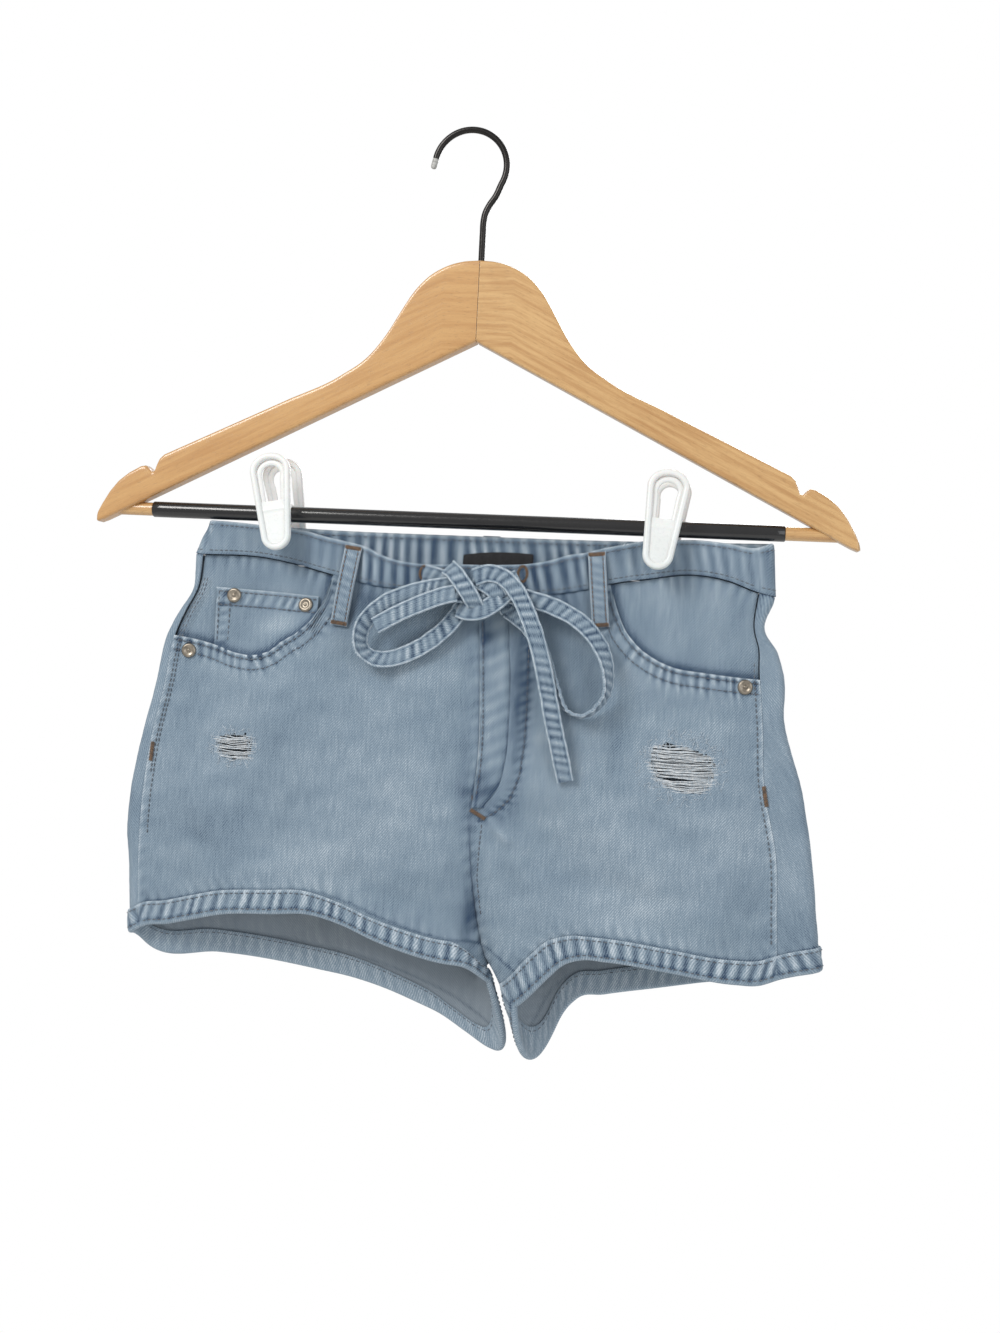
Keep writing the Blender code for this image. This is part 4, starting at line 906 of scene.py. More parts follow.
FINISHES = {}
TWILL, WASH = twill_group(), wash_group()
denim_finish("denim", DEEP, MID, PALE, pitch=1.75, slope=1.2, contrast=0.42, depth=0.5)
denim_finish("denim inside", INSIDE_DEEP, INSIDE_MID, INSIDE_PALE, 1.75, -1.2, 0.26, 0.4)
denim_finish("strap denim", DEEP, MID, PALE, pitch=1.5, slope=1.2, contrast=0.36, depth=0.5)
thread_finish("grey thread", (0.070, 0.082, 0.105), (0.130, 0.145, 0.165))
thread_finish("tobacco thread", (0.190, 0.110, 0.060), (0.090, 0.060, 0.042))
thread_finish("white weft", (0.690, 0.715, 0.735), (0.500, 0.560, 0.610))
thread_finish("blue fuzz", (0.330, 0.420, 0.510), (0.540, 0.610, 0.670))
# The two arms are one beech: the left copy is painted darker, with fainter grain, as painted shade on the
# arm turned from the light.
wood_finish("left wood", (0.600, 0.350, 0.140), (0.430, 0.205, 0.068), 1.7, 0.55)
wood_finish("right wood", (0.640, 0.400, 0.175), (0.440, 0.225, 0.080), 2.1, 0.75)
plain_finish("hook steel", (0.035, 0.033, 0.032), 0.26, 0.85, scale=90.0)
plain_finish("sleeve", (0.010, 0.010, 0.011), 0.20, Coat_Weight=0.4, Coat_Roughness=0.08)
plain_finish("white plastic", (0.800, 0.805, 0.790), 0.30, mottle=0.05, scale=40.0,
             Subsurface_Weight=0.08)
plain_finish("tip cap", (0.520, 0.520, 0.500), 0.5, mottle=0.5, scale=500.0)
plain_finish("antique rivet", (0.400, 0.350, 0.285), 0.38, 0.9, mottle=0.45, scale=420.0)
plain_finish("label", (0.012, 0.012, 0.015), 0.8, mottle=0.5, scale=700.0, Sheen_Weight=0.2)


# ------------------------------------------------------------------------ camera and light
def aim_camera():
    """In front, 8 degrees round to the object's left and level, rolled as the hanger hangs."""
    pivot, turn, roll = Vector((0.009, 0.0, -0.2243)), math.radians(8.0), math.radians(ROLL)
    back = Vector((math.sin(turn), -math.cos(turn), 0.0))
    right, up = Vector((math.cos(turn), math.sin(turn), 0.0)), Vector((0.0, 0.0, 1.0))
    right_rolled = right * math.cos(roll) + up * math.sin(roll)
    up_rolled = up * math.cos(roll) - right * math.sin(roll)
    eye = pivot + back * 1.0 + right_rolled * AIM_RIGHT + up_rolled * AIM_UP
    lens = bpy.data.cameras.new("camera")
    lens.sensor_fit, lens.sensor_height, lens.lens = "VERTICAL", 36.0, 46.86
    made = bpy.data.objects.new("camera", lens)
    made.matrix_world = Matrix((
        (right_rolled.x, up_rolled.x, back.x, eye.x),
        (right_rolled.y, up_rolled.y, back.y, eye.y),
        (right_rolled.z, up_rolled.z, back.z, eye.z),
        (0.0, 0.0, 0.0, 1.0),
    ))
    bpy.context.scene.collection.objects.link(made)
    bpy.context.scene.camera = made


ROLL, AIM_RIGHT, AIM_UP = 2.9, 0.0183, -0.0833
aim_camera()


def light(name, at, target, size, power, tint=(1.0, 1.0, 1.0)):
    """A soft square lamp at one place, turned to another, both in metres."""
    lamp = bpy.data.lights.new(name, "AREA")
    lamp.size, lamp.energy, lamp.color = size, power, tint
    made = bpy.data.objects.new(name, lamp)
    made.location = at
    away = Vector(target) - Vector(at)
    made.rotation_euler = away.to_track_quat("-Z", "Y").to_euler()
    bpy.context.scene.collection.objects.link(made)


def light_stage():
    """A pale floor well below, a white room, a large key lamp up and to the left, a weaker
    fill on the right and one behind."""
    middle = (0.0, 0.0, -0.30)
    light("key", (-1.1, -1.7, 1.0), middle, 0.9, 34.0, (1.0, 0.985, 0.96))
    light("fill", (1.6, -1.5, 0.1), middle, 1.6, 12.0, (0.95, 0.975, 1.0))
    light("behind", (0.5, 1.9, 0.7), middle, 1.2, 26.0)
    room = bpy.data.worlds.new("room")
    room.use_nodes = True
    tree = room.node_tree
    ground = tree.nodes["Background"]
    ground.inputs["Color"].default_value = (1.0, 1.0, 1.0, 1.0)
    seen = add_node(tree, "ShaderNodeLightPath").outputs["Is Camera Ray"]
    strength = calc(tree, "MULTIPLY_ADD", seen, 1.0 - ROOM_LIGHT, ROOM_LIGHT)
    tree.links.new(strength, ground.inputs["Strength"])
    bpy.context.scene.world = room
    bpy.context.scene.view_settings.view_transform = "Standard"
    tree, shader = finish("pale floor", (0.86, 0.86, 0.85), 0.9)
    at = add_node(tree, "ShaderNodeTexCoord").outputs["Object"]
    cloud = noise(tree, at, 3.0, 3.0)
    tree.links.new(mix_colour(tree, cloud, (0.88, 0.88, 0.87, 1), (0.84, 0.84, 0.83, 1)),
                   shader.inputs["Base Color"])
    half = 2.0
    corners = np.array([(-half, -half), (half, -half), (half, half), (-half, half)]) * 1000
    points = np.column_stack([corners, np.full(4, FLOOR_Z * 1000 - TABLE_Z)])
    floor = bpy.data.meshes.new("floor")
    floor.from_pydata([tuple(p) for p in place(points)], [], [(0, 1, 2, 3)])
    floor.materials.append(FINISHES["pale floor"])
    made = bpy.data.objects.new("floor", floor)
    bpy.context.scene.collection.objects.link(made)


ROOM_LIGHT, FLOOR_Z = 0.55, -1.6


# ------------------------------------------------------------------------------ drawstring
WRAPS = {  # the knot, as short lengths of the same strap
    "over": (
        (-6.0, -25.0, -254.5, 10), (-2.0, -30.0, -257.0, 5), (3.0, -33.2, -262.5, 0),
        (7.5, -33.6, -268.5, 0), (11.0, -31.0, -274.5, -10), (12.0, -27.0, -277.5, -20),
    ),
    "under": (
        (1.0, -25.0, -277.5, 0), (7.0, -28.5, -279.0, 0), (15.0, -30.2, -278.0, 0),
        (22.0, -30.0, -273.5, 0), (28.0, -27.0, -267.5, 0),
    ),
    "core": (
        (-1.0, -25.6, -268.0, 0), (6.0, -27.8, -269.0, 0), (14.0, -28.4, -268.0, 0),
        (22.0, -27.4, -267.0, 0), (28.0, -25.5, -266.5, 0),
    ),
    "middle": (
        (9.0, -28.6, -262.0, 0), (15.0, -30.2, -262.5, 0), (21.0, -30.6, -266.0, 0),
        (25.0, -29.0, -271.0, 0),
    ),
}


def strap_line(rows, pitch=0.9):
    """A strap's middle at even steps, with the turn of its width: a cubic of each number
    from row to row."""
    rows = np.array(rows, float)
    knots = np.arange(len(rows), dtype=float)
    at = np.linspace(0, len(rows) - 1, 24 * (len(rows) - 1) + 1)
    line = np.stack([ease(at, knots, rows[:, k]) for k in range(4)], -1)
    steps = np.linalg.norm(np.diff(line[:, :3], axis=0), axis=-1)
    length = np.concatenate([[0], np.cumsum(steps)])
    even = np.linspace(0, length[-1], max(8, int(length[-1] / pitch)))
    return np.stack([np.interp(even, length, column) for column in line.T], -1), even


def strap(rows, seed):
    """A flat sewn strap: a rounded section, thicker along its two edges, puckered between
    its stitch rows and roped along its edges. Returns points, faces, uv and wear, the wear with painted
    light and shade in it."""
    line, length = strap_line(rows)
    path, turn = line[:, :3], np.radians(line[:, 3])[:, None]
    _, out, across = frames(path, (0.0, -1.0, 0.0))
    wide = across * np.cos(turn) + out * np.sin(turn)
    face = out * np.cos(turn) - across * np.sin(turn)
    angle = np.linspace(0, 2 * math.pi, 36, endpoint=False)
    a = np.sign(np.cos(angle)) * np.abs(np.cos(angle)) ** 0.75
    t = np.sign(np.sin(angle)) * np.abs(np.sin(angle)) ** 0.55
    at, share = length[:, None], a[None, :]
    edge = np.exp(-(((np.abs(share) - 0.88) / 0.12) ** 2))
    groove = np.exp(-(((np.abs(share) - 0.66) / 0.08) ** 2))
    lean = np.sign(share) * 2.0
    rib = ribs(at + lean * np.abs(share), 5.2, seed)
    thick = 0.86 + 0.40 * edge - 0.28 * groove + 0.12 * rib * (np.abs(share) < 0.6)
    width = HALF * (1 + 0.035 * wobble(length, 9, seed + 1))[:, None] * share
    shift = 0.40 * rib * (1 - share**2) + 0.22 * rib * edge
    points = path[:, None] + wide[:, None] * width[..., None]
    points = points + face[:, None] * (t * thick + shift)[..., None]
    # Paler at the edges and on rib crests, darker in the groove: wear and painted highlight and shade
    # together.
    wear_and_shade = 0.47 + 0.34 * edge - 0.30 * groove + 0.30 * rib * (np.abs(share) < 0.62)
    wear_and_shade = wear_and_shade + 0.12 * rib * edge + 0.05 * wobble(at, 30, seed + 2)
    uv = np.stack([width + 0 * at, at + 0 * share], -1) / 100
    sides, count = len(a), len(path)
    first = np.concatenate([points.reshape(-1, 3), path[[0, -1]]])
    k = np.arange(sides)
    last, tip = (count - 1) * sides, count * sides
    faces = [grid_faces(count, sides, round_columns=True)]
    faces.append(np.stack([k, (k + 1) % sides, np.full(sides, tip)], -1))
    faces.append(np.stack([k + last, np.full(sides, tip + 1), (k + 1) % sides + last], -1))
    if volume(first, faces) < 0:
        faces = [f[:, ::-1] for f in faces]
    uv = np.concatenate([uv.reshape(-1, 2), uv[[0, -1], 0]])
    return first, faces, uv, np.concatenate([wear_and_shade.reshape(-1), wear_and_shade[[0, -1], 0]])


def straps(name, many):
    """Several straps as one piece."""
    points, faces = joined([(p, f) for p, f, _, _ in many])
    uv, wear_and_shade = (np.concatenate([m[k] for m in many]) for k in (2, 3))
    return build(name, points, faces, ["strap denim"], uv, wear_and_shade, sharp=60)


def make_drawstring():
    """Two strands come out of the buttonholes, cross in the knot, and each makes one loop
    and hangs as one free end."""
    for word, through in (("left", (6.0, -26.0, -271.0)), ("right", (20.0, -26.5, -266.0))):
        names = [f"lead_{word}", f"loop_{word}", f"tail_{word}"]
        inside = (STRAPS[names[1]][-1], (*through, 0), STRAPS[names[2]][0])
        runs = [*[STRAPS[n] for n in names], inside]
        piece = straps(f"drawstring_{word}_strand",
                       [strap(rows, 200 + 9 * k + len(word)) for k, rows in enumerate(runs)])
        dress(piece, "drawstring", *[f"drawstring_{n}" for n in names])
        lead, loop, tail = (strap_line(STRAPS[n], 2.0)[0][:, :3] for n in names)
        path = np.concatenate([lead, loop, strap_line(inside, 2.0)[0][1:-1, :3], tail])
        length = np.linalg.norm(np.diff(path, axis=0), axis=-1).sum() / 1000
        LENGTHS[word] = length
        if word == "left":
            knot = straps("drawstring_knot_wraps", [strap(rows, 240 + len(n)) for n, rows in WRAPS.items()])
            dress(knot, "drawstring", "drawstring_knot")


HALF = STRAP_WIDTH / 2
LENGTHS = {}
make_drawstring()


# ------------------------------------------------------------------- creases, fading and painted shade
# Smaller creases, as the largest folds' table: ridges (+) and troughs (-).
CREASES = table(
    "back x0 z0 x1 z1 width height",
    (0, -112, -312, -150, -345, 7, -0.9), (0, -150, -352, -118, -330, 8, 0.7),
    (0, -98, -350, -128, -420, 9, -0.9), (0, -88, -355, -112, -418, 7, 0.7),
    (0, -160, -405, -120, -440, 7, -0.7), (0, -150, -440, -90, -426, 6, 0.5),
    (0, -60, -430, -20, -448, 7, -0.6), (0, -75, -345, -40, -380, 8, 0.6),
    (0, -50, -300, -25, -345, 8, -0.6), (0, -20, -330, 2, -385, 6, -0.8),
    (0, -5, -395, 8, -440, 5, -0.8), (0, -38, -455, -66, -438, 6, 0.5),
    (0, 24, -397, 36, -408, 2.6, 1.2), (0, 28, -402, 60, -418, 4, 0.7),
    (0, 26, -404, 44, -440, 5, -0.8), (0, 45, -410, 88, -436, 6, -0.7),
    (0, 92, -335, 94, -366, 6, -1.1), (0, 84, -330, 86, -372, 6, 0.8),
    (0, 100, -385, 150, -414, 8, -0.7), (0, 112, -395, 160, -432, 7, 0.6),
    (0, 70, -425, 140, -437, 6, -0.6), (0, 84, -452, 140, -460, 4, 0.6),
    (0, 48, -300, 44, -340, 6, -0.9), (0, 72, -300, 78, -318, 6, -0.7),
    (0, 120, -255, 112, -288, 7, 0.7), (0, 140, -262, 150, -292, 8, -0.7),
    (1, -140, -300, -110, -360, 8, 0.8), (1, -120, -300, -95, -380, 8, -0.9),
    (1, -70, -275, -60, -340, 7, 0.8), (1, -30, -280, -22, -350, 7, -0.8),
    (1, 50, -280, 44, -350, 7, 0.8), (1, 95, -280, 84, -360, 8, -0.9),
    (1, 135, -300, 112, -370, 8, 0.8), (1, 30, -400, 90, -450, 9, -0.8),
    (1, -10, -400, -80, -455, 9, -0.8), (1, 40, -420, 110, -470, 8, 0.7),
    (1, -20, -425, -110, -475, 8, 0.7), (1, 150, -380, 170, -440, 8, -0.7),
)
# Patches of more (+) or less (-) wear, with their half widths and half heights; several dark ones are
# painted shadow: under the drawstring's loops and knot, and in the crotch gap below the fly.
FADE_AND_SHADOW_PATCHES = table(
    "back x z wide tall tone",
    (0, -70, -400, 60, 45, 0.07), (0, 85, -400, 60, 48, 0.10), (0, -40, -345, 46, 34, 0.04),
    (0, 100, -440, 60, 16, 0.06), (0, -140, -400, 26, 60, -0.05), (0, -55, -276, 14, 14, -0.30),
    (0, 56, -272, 16, 10, -0.26), (0, 38, -300, 6.5, 34, -0.24), (0, 37, -345, 6, 40, -0.26),
    (0, 22, -386, 16, 10, -0.15), (0, 8, -372, 5.5, 28, -0.22), (0, 30, -392, 12, 7, -0.10),
    (0, 7, -300, 5, 22, -0.12), (0, 15, -420, 6, 30, -0.20), (0, 14, -452, 5, 14, -0.34),
    (0, 152, -345, 14, 34, 0.05), (0, -128, -363, 22, 18, 0.05), (0, 130, -361, 26, 22, 0.06),
    (0, 45, -474, 14, 10, -0.14), (0, 31, -484, 8, 8, -0.12), (0, 76, -310, 14, 20, -0.08),
    (0, -25, -296, 18, 10, -0.14), (0, -160, -335, 10, 34, -0.05), (0, 92, -350, 7, 20, -0.08),
    (0, -102, -372, 14, 36, -0.05), (0, 120, -412, 26, 12, -0.04),
    (1, -80, -340, 50, 50, 0.12), (1, 110, -340, 50, 50, 0.12), (1, 13, -300, 14, 50, -0.10),
    (1, 13, -262, 150, 12, -0.14), (1, -90, -440, 70, 30, 0.05), (1, 110, -440, 70, 30, 0.05),
)
# Frayed holes: their outlines.
RIPS = {
    "left": table(
        "x z", (-139, -358), (-131, -356), (-122, -355.5), (-117, -358), (-117.5, -364),
        (-119, -368.5), (-128, -370), (-137, -367.5), (-140, -363),
    ),
    "right": table(
        "x z", (113.5, -349.5), (121, -347), (131, -348.5), (141, -351.5), (147, -354.5),
        (148, -362), (146, -369), (141, -373.5), (131, -373.5), (122, -371), (115, -366),
        (112, -358),
    ),
}
GATHER_FRONT = table(  # how strongly the front waistband is gathered, along it
    "x amount",
    (-170, 0.12), (-120, 0.2), (-85, 0.25), (-66, 0.5), (-55, 1.0), (-20, 1.0), (0, 0.5),
    (25, 0.5), (42, 1.0), (64, 1.0), (80, 0.5), (100, 0.55), (150, 0.6), (176, 0.3),
)


def creased(points, back, rows):
    """How far a table's creases stand out at these points: a bell across each line, which
    dies away round its ends."""
    total = np.zeros(points.shape[:-1])
    for k in np.nonzero(rows["back"] == float(back))[0]:
        a = np.array([rows["x0"][k], rows["z0"][k]])
        line = np.array([rows["x1"][k], rows["z1"][k]]) - a
        offset = points[..., [0, 2]] - a
        along = offset @ line / (line @ line)
        off = offset - np.clip(along, 0.12, 0.88)[..., None] * line
        bent = 3.0 * unevenness(points[..., 0], points[..., 2], 60, 11)
        apart = np.sqrt((off**2).sum(-1)) + bent * 0.2
        total += rows["height"][k] * np.exp(-((apart / rows["width"][k]) ** 2))
    return total


def hem_line(face):
    """The line of x and z on which a hem band's top edge lies."""
    rows = HEM_FRONT if face == "front" else HEM_BACK
    return offset_line(line_of(rows, count=90), HEM_HEIGHT)


def seam_line(face, side, s):
    """One edge of a panel, from the waist down, as it shows."""
    return panel(face, side, s, np.linspace(0, 1, 50))[:, [0, 2]]


def panel_seams(face, side):
    """Sewn lines that pucker a panel: line, side, reach, pitch, slant, depth, tone, dark. tone makes the
    puckers paler on their crests and darker in their valleys, wear and painted light together; dark is a
    painted shade line along the seam.
    """
    inward_side = -side
    rows = [(hem_line(face), 1, 7.0, 7.0, 0.35, 0.35, 0.10, 0.26)]
    if face == "back":
        rows.append((line_of(WAIST_BACK), -1, 26.0, 8.5, 0.10, 0.90, 0.16, 0.30))
        rows.append((seam_line(face, side, 0.0), side, 6.0, 7.0, 0.4, 0.40, 0.12, 0.2))
        return rows
    rows.append((line_of(WAIST_FRONT), -1, 9.0, 6.5, 0.15, 0.35, 0.10, 0.26))
    rows.append((line_of(POCKET_MOUTH[side]), -1, 9.5, 5.6, 0.15, 0.62, 0.30, 0.0))
    rows.append((offset_line(line_of(POCKET_MOUTH[side]), -8.6), 0, 3.6, 5.0, 0.3, 0.30, 0.16, 0.20))
    rows.append((offset_line(line_of(POCKET_MOUTH[side]), -2.6), 0, 2.4, 5.2, 0.3, 0.20, 0.10, 0.26))
    rows.append((seam_line(face, side, 1.0), inward_side, 5.0, 8.0, 0.5, 0.22, 0.09, 0.0))
    rows.append((seam_line(face, side, 0.0), side, 5.0, 8.0, 0.4, 0.22, 0.10, 0.10))
    if side > 0:
        rows.append((J_STITCH, 0, 4.0, 5.5, 0.5, 0.32, 0.16, 0.22))
    return rows


J_STITCH = np.array([
    (40.5, -268), (41, -300), (41.5, -330), (41.3, -352), (39.5, -370), (34.5, -383),
    (27, -391), (18, -396.5),
])
SEAMS = {}


def detail(face, side, points):
    """Relief in mm, and wear with painted shade and highlight in it, 0 to 1, of a panel at points on its
    plain surface.
    """
    if (face, side) not in SEAMS:
        SEAMS[face, side] = panel_seams(face, side)
    x, z = points[..., 0], points[..., 2]
    back = face == "back"
    relief = creased(points, back, CREASES)
    relief += 0.16 * unevenness(x, z, 24, 21 + back) + 0.07 * unevenness(x, z, 8, 31 + back)
    wear_and_shade = 0.50 + 0.05 * unevenness(x, z, 70, 41 + back) + 0.035 * unevenness(x, z, 17, 51 + back)
    # Paler where the cloth stands out: wear on the crests, and painted highlight.
    wear_and_shade += 0.05 * relief
    # Patches of fade, and of painted shadow.
    for k in np.nonzero(FADE_AND_SHADOW_PATCHES["back"] == float(back))[0]:
        away = ((x - FADE_AND_SHADOW_PATCHES["x"][k]) / FADE_AND_SHADOW_PATCHES["wide"][k]) ** 2
        away = away + ((z - FADE_AND_SHADOW_PATCHES["z"][k]) / FADE_AND_SHADOW_PATCHES["tall"][k]) ** 2
        wear_and_shade += FADE_AND_SHADOW_PATCHES["tone"][k] * np.exp(-away)
    for seed, seam in enumerate(SEAMS[face, side]):
        line, edge, reach, pitch, slant, height, tone, dark = seam
        along, off = beside(x, z, line)
        on = smooth(0.5 + edge * off) if edge else 1.0
        near = np.exp(-((off / reach) ** 2)) * on
        rib = ribs(along + slant * off, pitch, 500 + 7 * seed + 5 * back + side)
        relief += height * rib * near
        # Pucker crests paler and valleys darker, wear and painted light together; a painted shade line right
        # on each seam.
        wear_and_shade += tone * rib * near - dark * np.exp(-((off / 1.0) ** 2))
    return relief, wear_and_shade


def surface(face, side, s, v):
    """A dressed panel: points with their relief, unit normals, and wear with painted shade in it."""
    plain = panel(face, side, s, v)
    out = normal(face, side, s, v)
    relief, wear_and_shade = detail(face, side, plain)
    calm = smooth(np.minimum(s, 1 - s) / 0.012)
    return plain + out * (relief * calm)[..., None], out, wear_and_shade


def on_panel(face, side, x, z, lift=DENIM / 2):
    """Points that show at (x, z) on a dressed panel, moved out by lift, and normals."""
    s, v = find(face, side, x, z)
    points, out, _ = surface(face, side, s, v)
    return points + out * np.asarray(lift)[..., None], out


def cloth_uv(points, side=None, v=None, wrapped=None):
    """The cloth's own map, 100 mm to a unit: across and up, unrolled past a side fold."""
    x = points[..., 0].copy()
    if wrapped is not None:
        edge = silhouette(side, v)
        x = np.where(wrapped, 2 * edge - x, x)
    return np.stack([x, points[..., 2]], -1) / 100.0


def rounded(distance, radius):
    """Thickness share near an edge: a quarter round of this radius."""
    return np.sqrt(np.clip(1 - (1 - np.clip(distance / radius, 0, 1)) ** 2, 0.04, 1))


def within(x, z, outline):
    """Which points lie inside a closed outline, by counting the edges above them."""
    a = np.stack([outline["x"], outline["z"]], -1)
    b = np.roll(a, -1, axis=0)
    x, z = x[..., None], z[..., None]
    spans = (a[:, 0] > x) != (b[:, 0] > x)
    height = a[:, 1] + (x - a[:, 0]) / np.where(b[:, 0] == a[:, 0], 1, b[:, 0] - a[:, 0]) * (
        b[:, 1] - a[:, 1])
    return (spans & (height > z)).sum(-1) % 2 == 1


def raised_edge(along_off, reach, height, tone):
    """Relief and wear of a folded seam edge: full at the edge, gone past its reach."""
    share = 1 - smooth(along_off / reach)
    return height * share, tone * np.exp(-((along_off / (reach * 0.45)) ** 2))


FINE = {"front": (30, 122), "back": (34, 100)}  # columns over the inner run and the face
ROWS = 156


def panel_columns(face):
    """The values of s at a panel's columns, closer where its face shows."""
    inner, over = FINE[face]
    if face == "front":
        return np.concatenate([np.linspace(0, INNER, inner)[:-1], np.linspace(INNER, 1, over)])
    face_part = np.linspace(INNER, FACE, over)[:-1]
    return np.concatenate([np.linspace(0, INNER, inner)[:-1], face_part, np.linspace(FACE, 1, 22)])


def make_panels():
    """Front and back panels. The front ones start at the pocket mouth, and are holed."""
    panels = {}
    for face in ("front", "back"):
        for side, word in ((-1, "left"), (1, "right")):
            s = panel_columns(face)
            top = mouth_level(side, s) if face == "front" else np.zeros_like(s)
            if face == "front":
                corner = find("front", side, POCKET_MOUTH[side]["x"][-1 if side < 0 else 0], -260.0)[0]
                top = np.where(s <= corner, 0.0, top)
            down = np.linspace(0.001, 1, ROWS)
            v = top[:, None] + (1 - top)[:, None] * down
            s = np.broadcast_to(s[:, None], v.shape)
            points, out, wear_and_shade = surface(face, side, s, v)
            thick = np.full(v.shape, DENIM)
            if face == "front":
                mouth = (v - top[:, None]) * DROP
                cut = (top > 0.02)[:, None]
                lift, pale = raised_edge(mouth, 2.4, 0.35, 0.34)
                points = points + out * (lift * cut)[..., None]
                wear_and_shade = wear_and_shade + pale * cut
                thick = np.where(cut, (DENIM + 0.7 * (1 - smooth(mouth / 2.4))) * rounded(mouth, 0.9), thick)
                edge = beside(points[..., 0], points[..., 2], seam_line(face, side, 1.0))[1]
                lift, pale = raised_edge(np.abs(edge), 3.0, 0.55, 0.26)
                points = points + out * lift[..., None]
                wear_and_shade = wear_and_shade + pale
            keep = np.ones((v.shape[0] - 1, v.shape[1] - 1), bool)
            if face == "front":
                middle = (points[1:, 1:] + points[:-1, :-1]) / 2
                ragged = 0.7 * unevenness(middle[..., 0], middle[..., 2], 3.5, 77)
                keep = ~within(middle[..., 0] + ragged, middle[..., 2] + ragged, RIPS[word])
            wrapped = (s > FACE) if face == "back" else None
            uv = cloth_uv(points, side, v, wrapped)
            piece = shell(f"{face}_panel_{word}", points, out, thick, ["denim", "denim inside"],
                          uv, wear_and_shade, keep)
            panels[face, side] = dress(piece, "denim", f"{face}_{word}")
    return panels


def grid_normals(points, towards):
    """Unit normals of a grid of points, on the side of the given directions."""
    out = np.cross(np.gradient(points, axis=0), np.gradient(points, axis=1))
    out /= np.maximum(np.linalg.norm(out, axis=-1, keepdims=True), 1e-9)
    return out * np.sign((out * towards).sum(-1, keepdims=True) + 1e-12)


HEM_TURN = 1.45  # radius of the fold round a panel's lower edge


def make_hems():
    """Each hem is one strip folded over the panel's edge: down the outside, round below and
    up the inside, roped into slanted ribs between its two stitch lines."""
    for face in ("front", "back"):
        for side, word in ((-1, "left"), (1, "right")):
            s = panel_columns(face)
            length = np.linalg.norm(
                panel(face, side, s, 1 + 0 * s) - panel(face, side, s, 0 * s), axis=-1)
            start = 1 - HEM_HEIGHT / length
            h = np.concatenate([np.linspace(0, 1, 15), np.ones(7), np.linspace(1, 0, 11)])
            turn = np.concatenate([np.zeros(15), np.linspace(0, math.pi, 9)[1:-1], np.full(11, math.pi)])
            v = start[:, None] + (1 - start)[:, None] * h
            grid_s = np.broadcast_to(s[:, None], v.shape)
            plain = panel(face, side, grid_s, v)
            out = normal(face, side, grid_s, v)
            down = panel(face, side, grid_s, v) - panel(face, side, grid_s, v - 0.02)
            down /= np.linalg.norm(down, axis=-1, keepdims=True)
            across = np.cumsum(np.concatenate(
                [[0], np.linalg.norm(np.diff(plain[:, 14], axis=0), axis=-1)]))[:, None]
            depth_in = h * HEM_HEIGHT
            rib = ribs(across + 0.42 * depth_in * side, 7.2, 90 + side + 3 * (face == "back"))
            held = np.sin(math.pi * np.clip(h, 0, 1)) ** 0.6
            outer = turn < 0.1
            radius = HEM_TURN + np.where(outer, 0.55 * rib * held, 0.2 * rib * held)
            points = plain + out * (radius * np.cos(turn))[..., None]
            points = points + down * (HEM_TURN * np.sin(turn))[..., None]
            # Ribs paler on their crests and darker in their valleys, wear and painted light together; a
            # paler top edge, a lighter turned part, and a painted shade line beside the lower stitch row.
            wear_and_shade = 0.50 + 0.34 * rib * (0.25 + 0.75 * held) * np.where(outer, 1.0, 0.35)
            wear_and_shade += 0.22 * np.exp(-((h * HEM_HEIGHT / 1.2) ** 2)) * outer
            wear_and_shade += 0.12 * (turn > 0.1) - 0.24 * np.exp(-(((1 - h) * HEM_HEIGHT - 1.8) / 0.9) ** 2) * outer
            normals = grid_normals(points, out * np.cos(turn)[..., None] + down * np.sin(turn)[..., None])
            thick = 1.0 * np.broadcast_to(rounded(np.minimum(h, 1) * HEM_HEIGHT, 0.8), v.shape)
            uv = np.stack(np.broadcast_arrays(across * side, -(depth_in + turn * HEM_TURN)), -1) / 100
            piece = shell(f"hem_{face}_strip_{word}", points, normals, thick, ["denim"], uv, wear_and_shade)
            dress(piece, "denim", f"hem_{face}_{word}")


def band_surface(face, u, h):
    """A waistband with its gathers: relief, normals, and wear with painted light and shade in it."""
    plain, out = band_point(face, u, h), band_normal(face, u, h)
    x = plain[..., 0]
    if face == "front":
        amount, pitch = ease(x, GATHER_FRONT["x"], GATHER_FRONT["amount"]), 7.5
    else:
        amount, pitch = 1.25 * smooth((172 - np.abs(x - 8)) / 20), 8.0
    rib = ribs(x + (0.12 + 0.10 * np.sign(x)) * (h - 0.5) * 20, pitch, 130 + (face == "back"), crisp=1.2)
    held = 0.45 + 0.55 * np.sin(math.pi * np.clip(h, 0, 1))
    relief = 0.75 * amount * rib * held + 0.10 * unevenness(x, plain[..., 2], 14, 61)
    # Gathers paler on their crests and darker between them, wear and painted light together. The top edge is
    # paler; painted shade lines run along the bottom edge and under the top stitch row, and the front is
    # painted darker across its middle, the drawstring's shadow.
    wear_and_shade = 0.46 + 0.34 * amount * rib * held + 0.05 * unevenness(x, plain[..., 2], 30, 62)
    wear_and_shade += 0.34 * np.exp(-(((1 - h) * 18 / 1.1) ** 2)) - 0.20 * np.exp(-((h * 18 / 1.0) ** 2))
    wear_and_shade -= 0.16 * np.exp(-((((1 - h) * 18 - 2.6) / 0.8) ** 2))
    wear_and_shade -= 0.18 * np.exp(-(((x - 8) / 62) ** 4)) * (face == "front")
    ends = smooth((1 - np.abs(u)) / 0.02)
    return plain + out * (relief * ends)[..., None], out, wear_and_shade


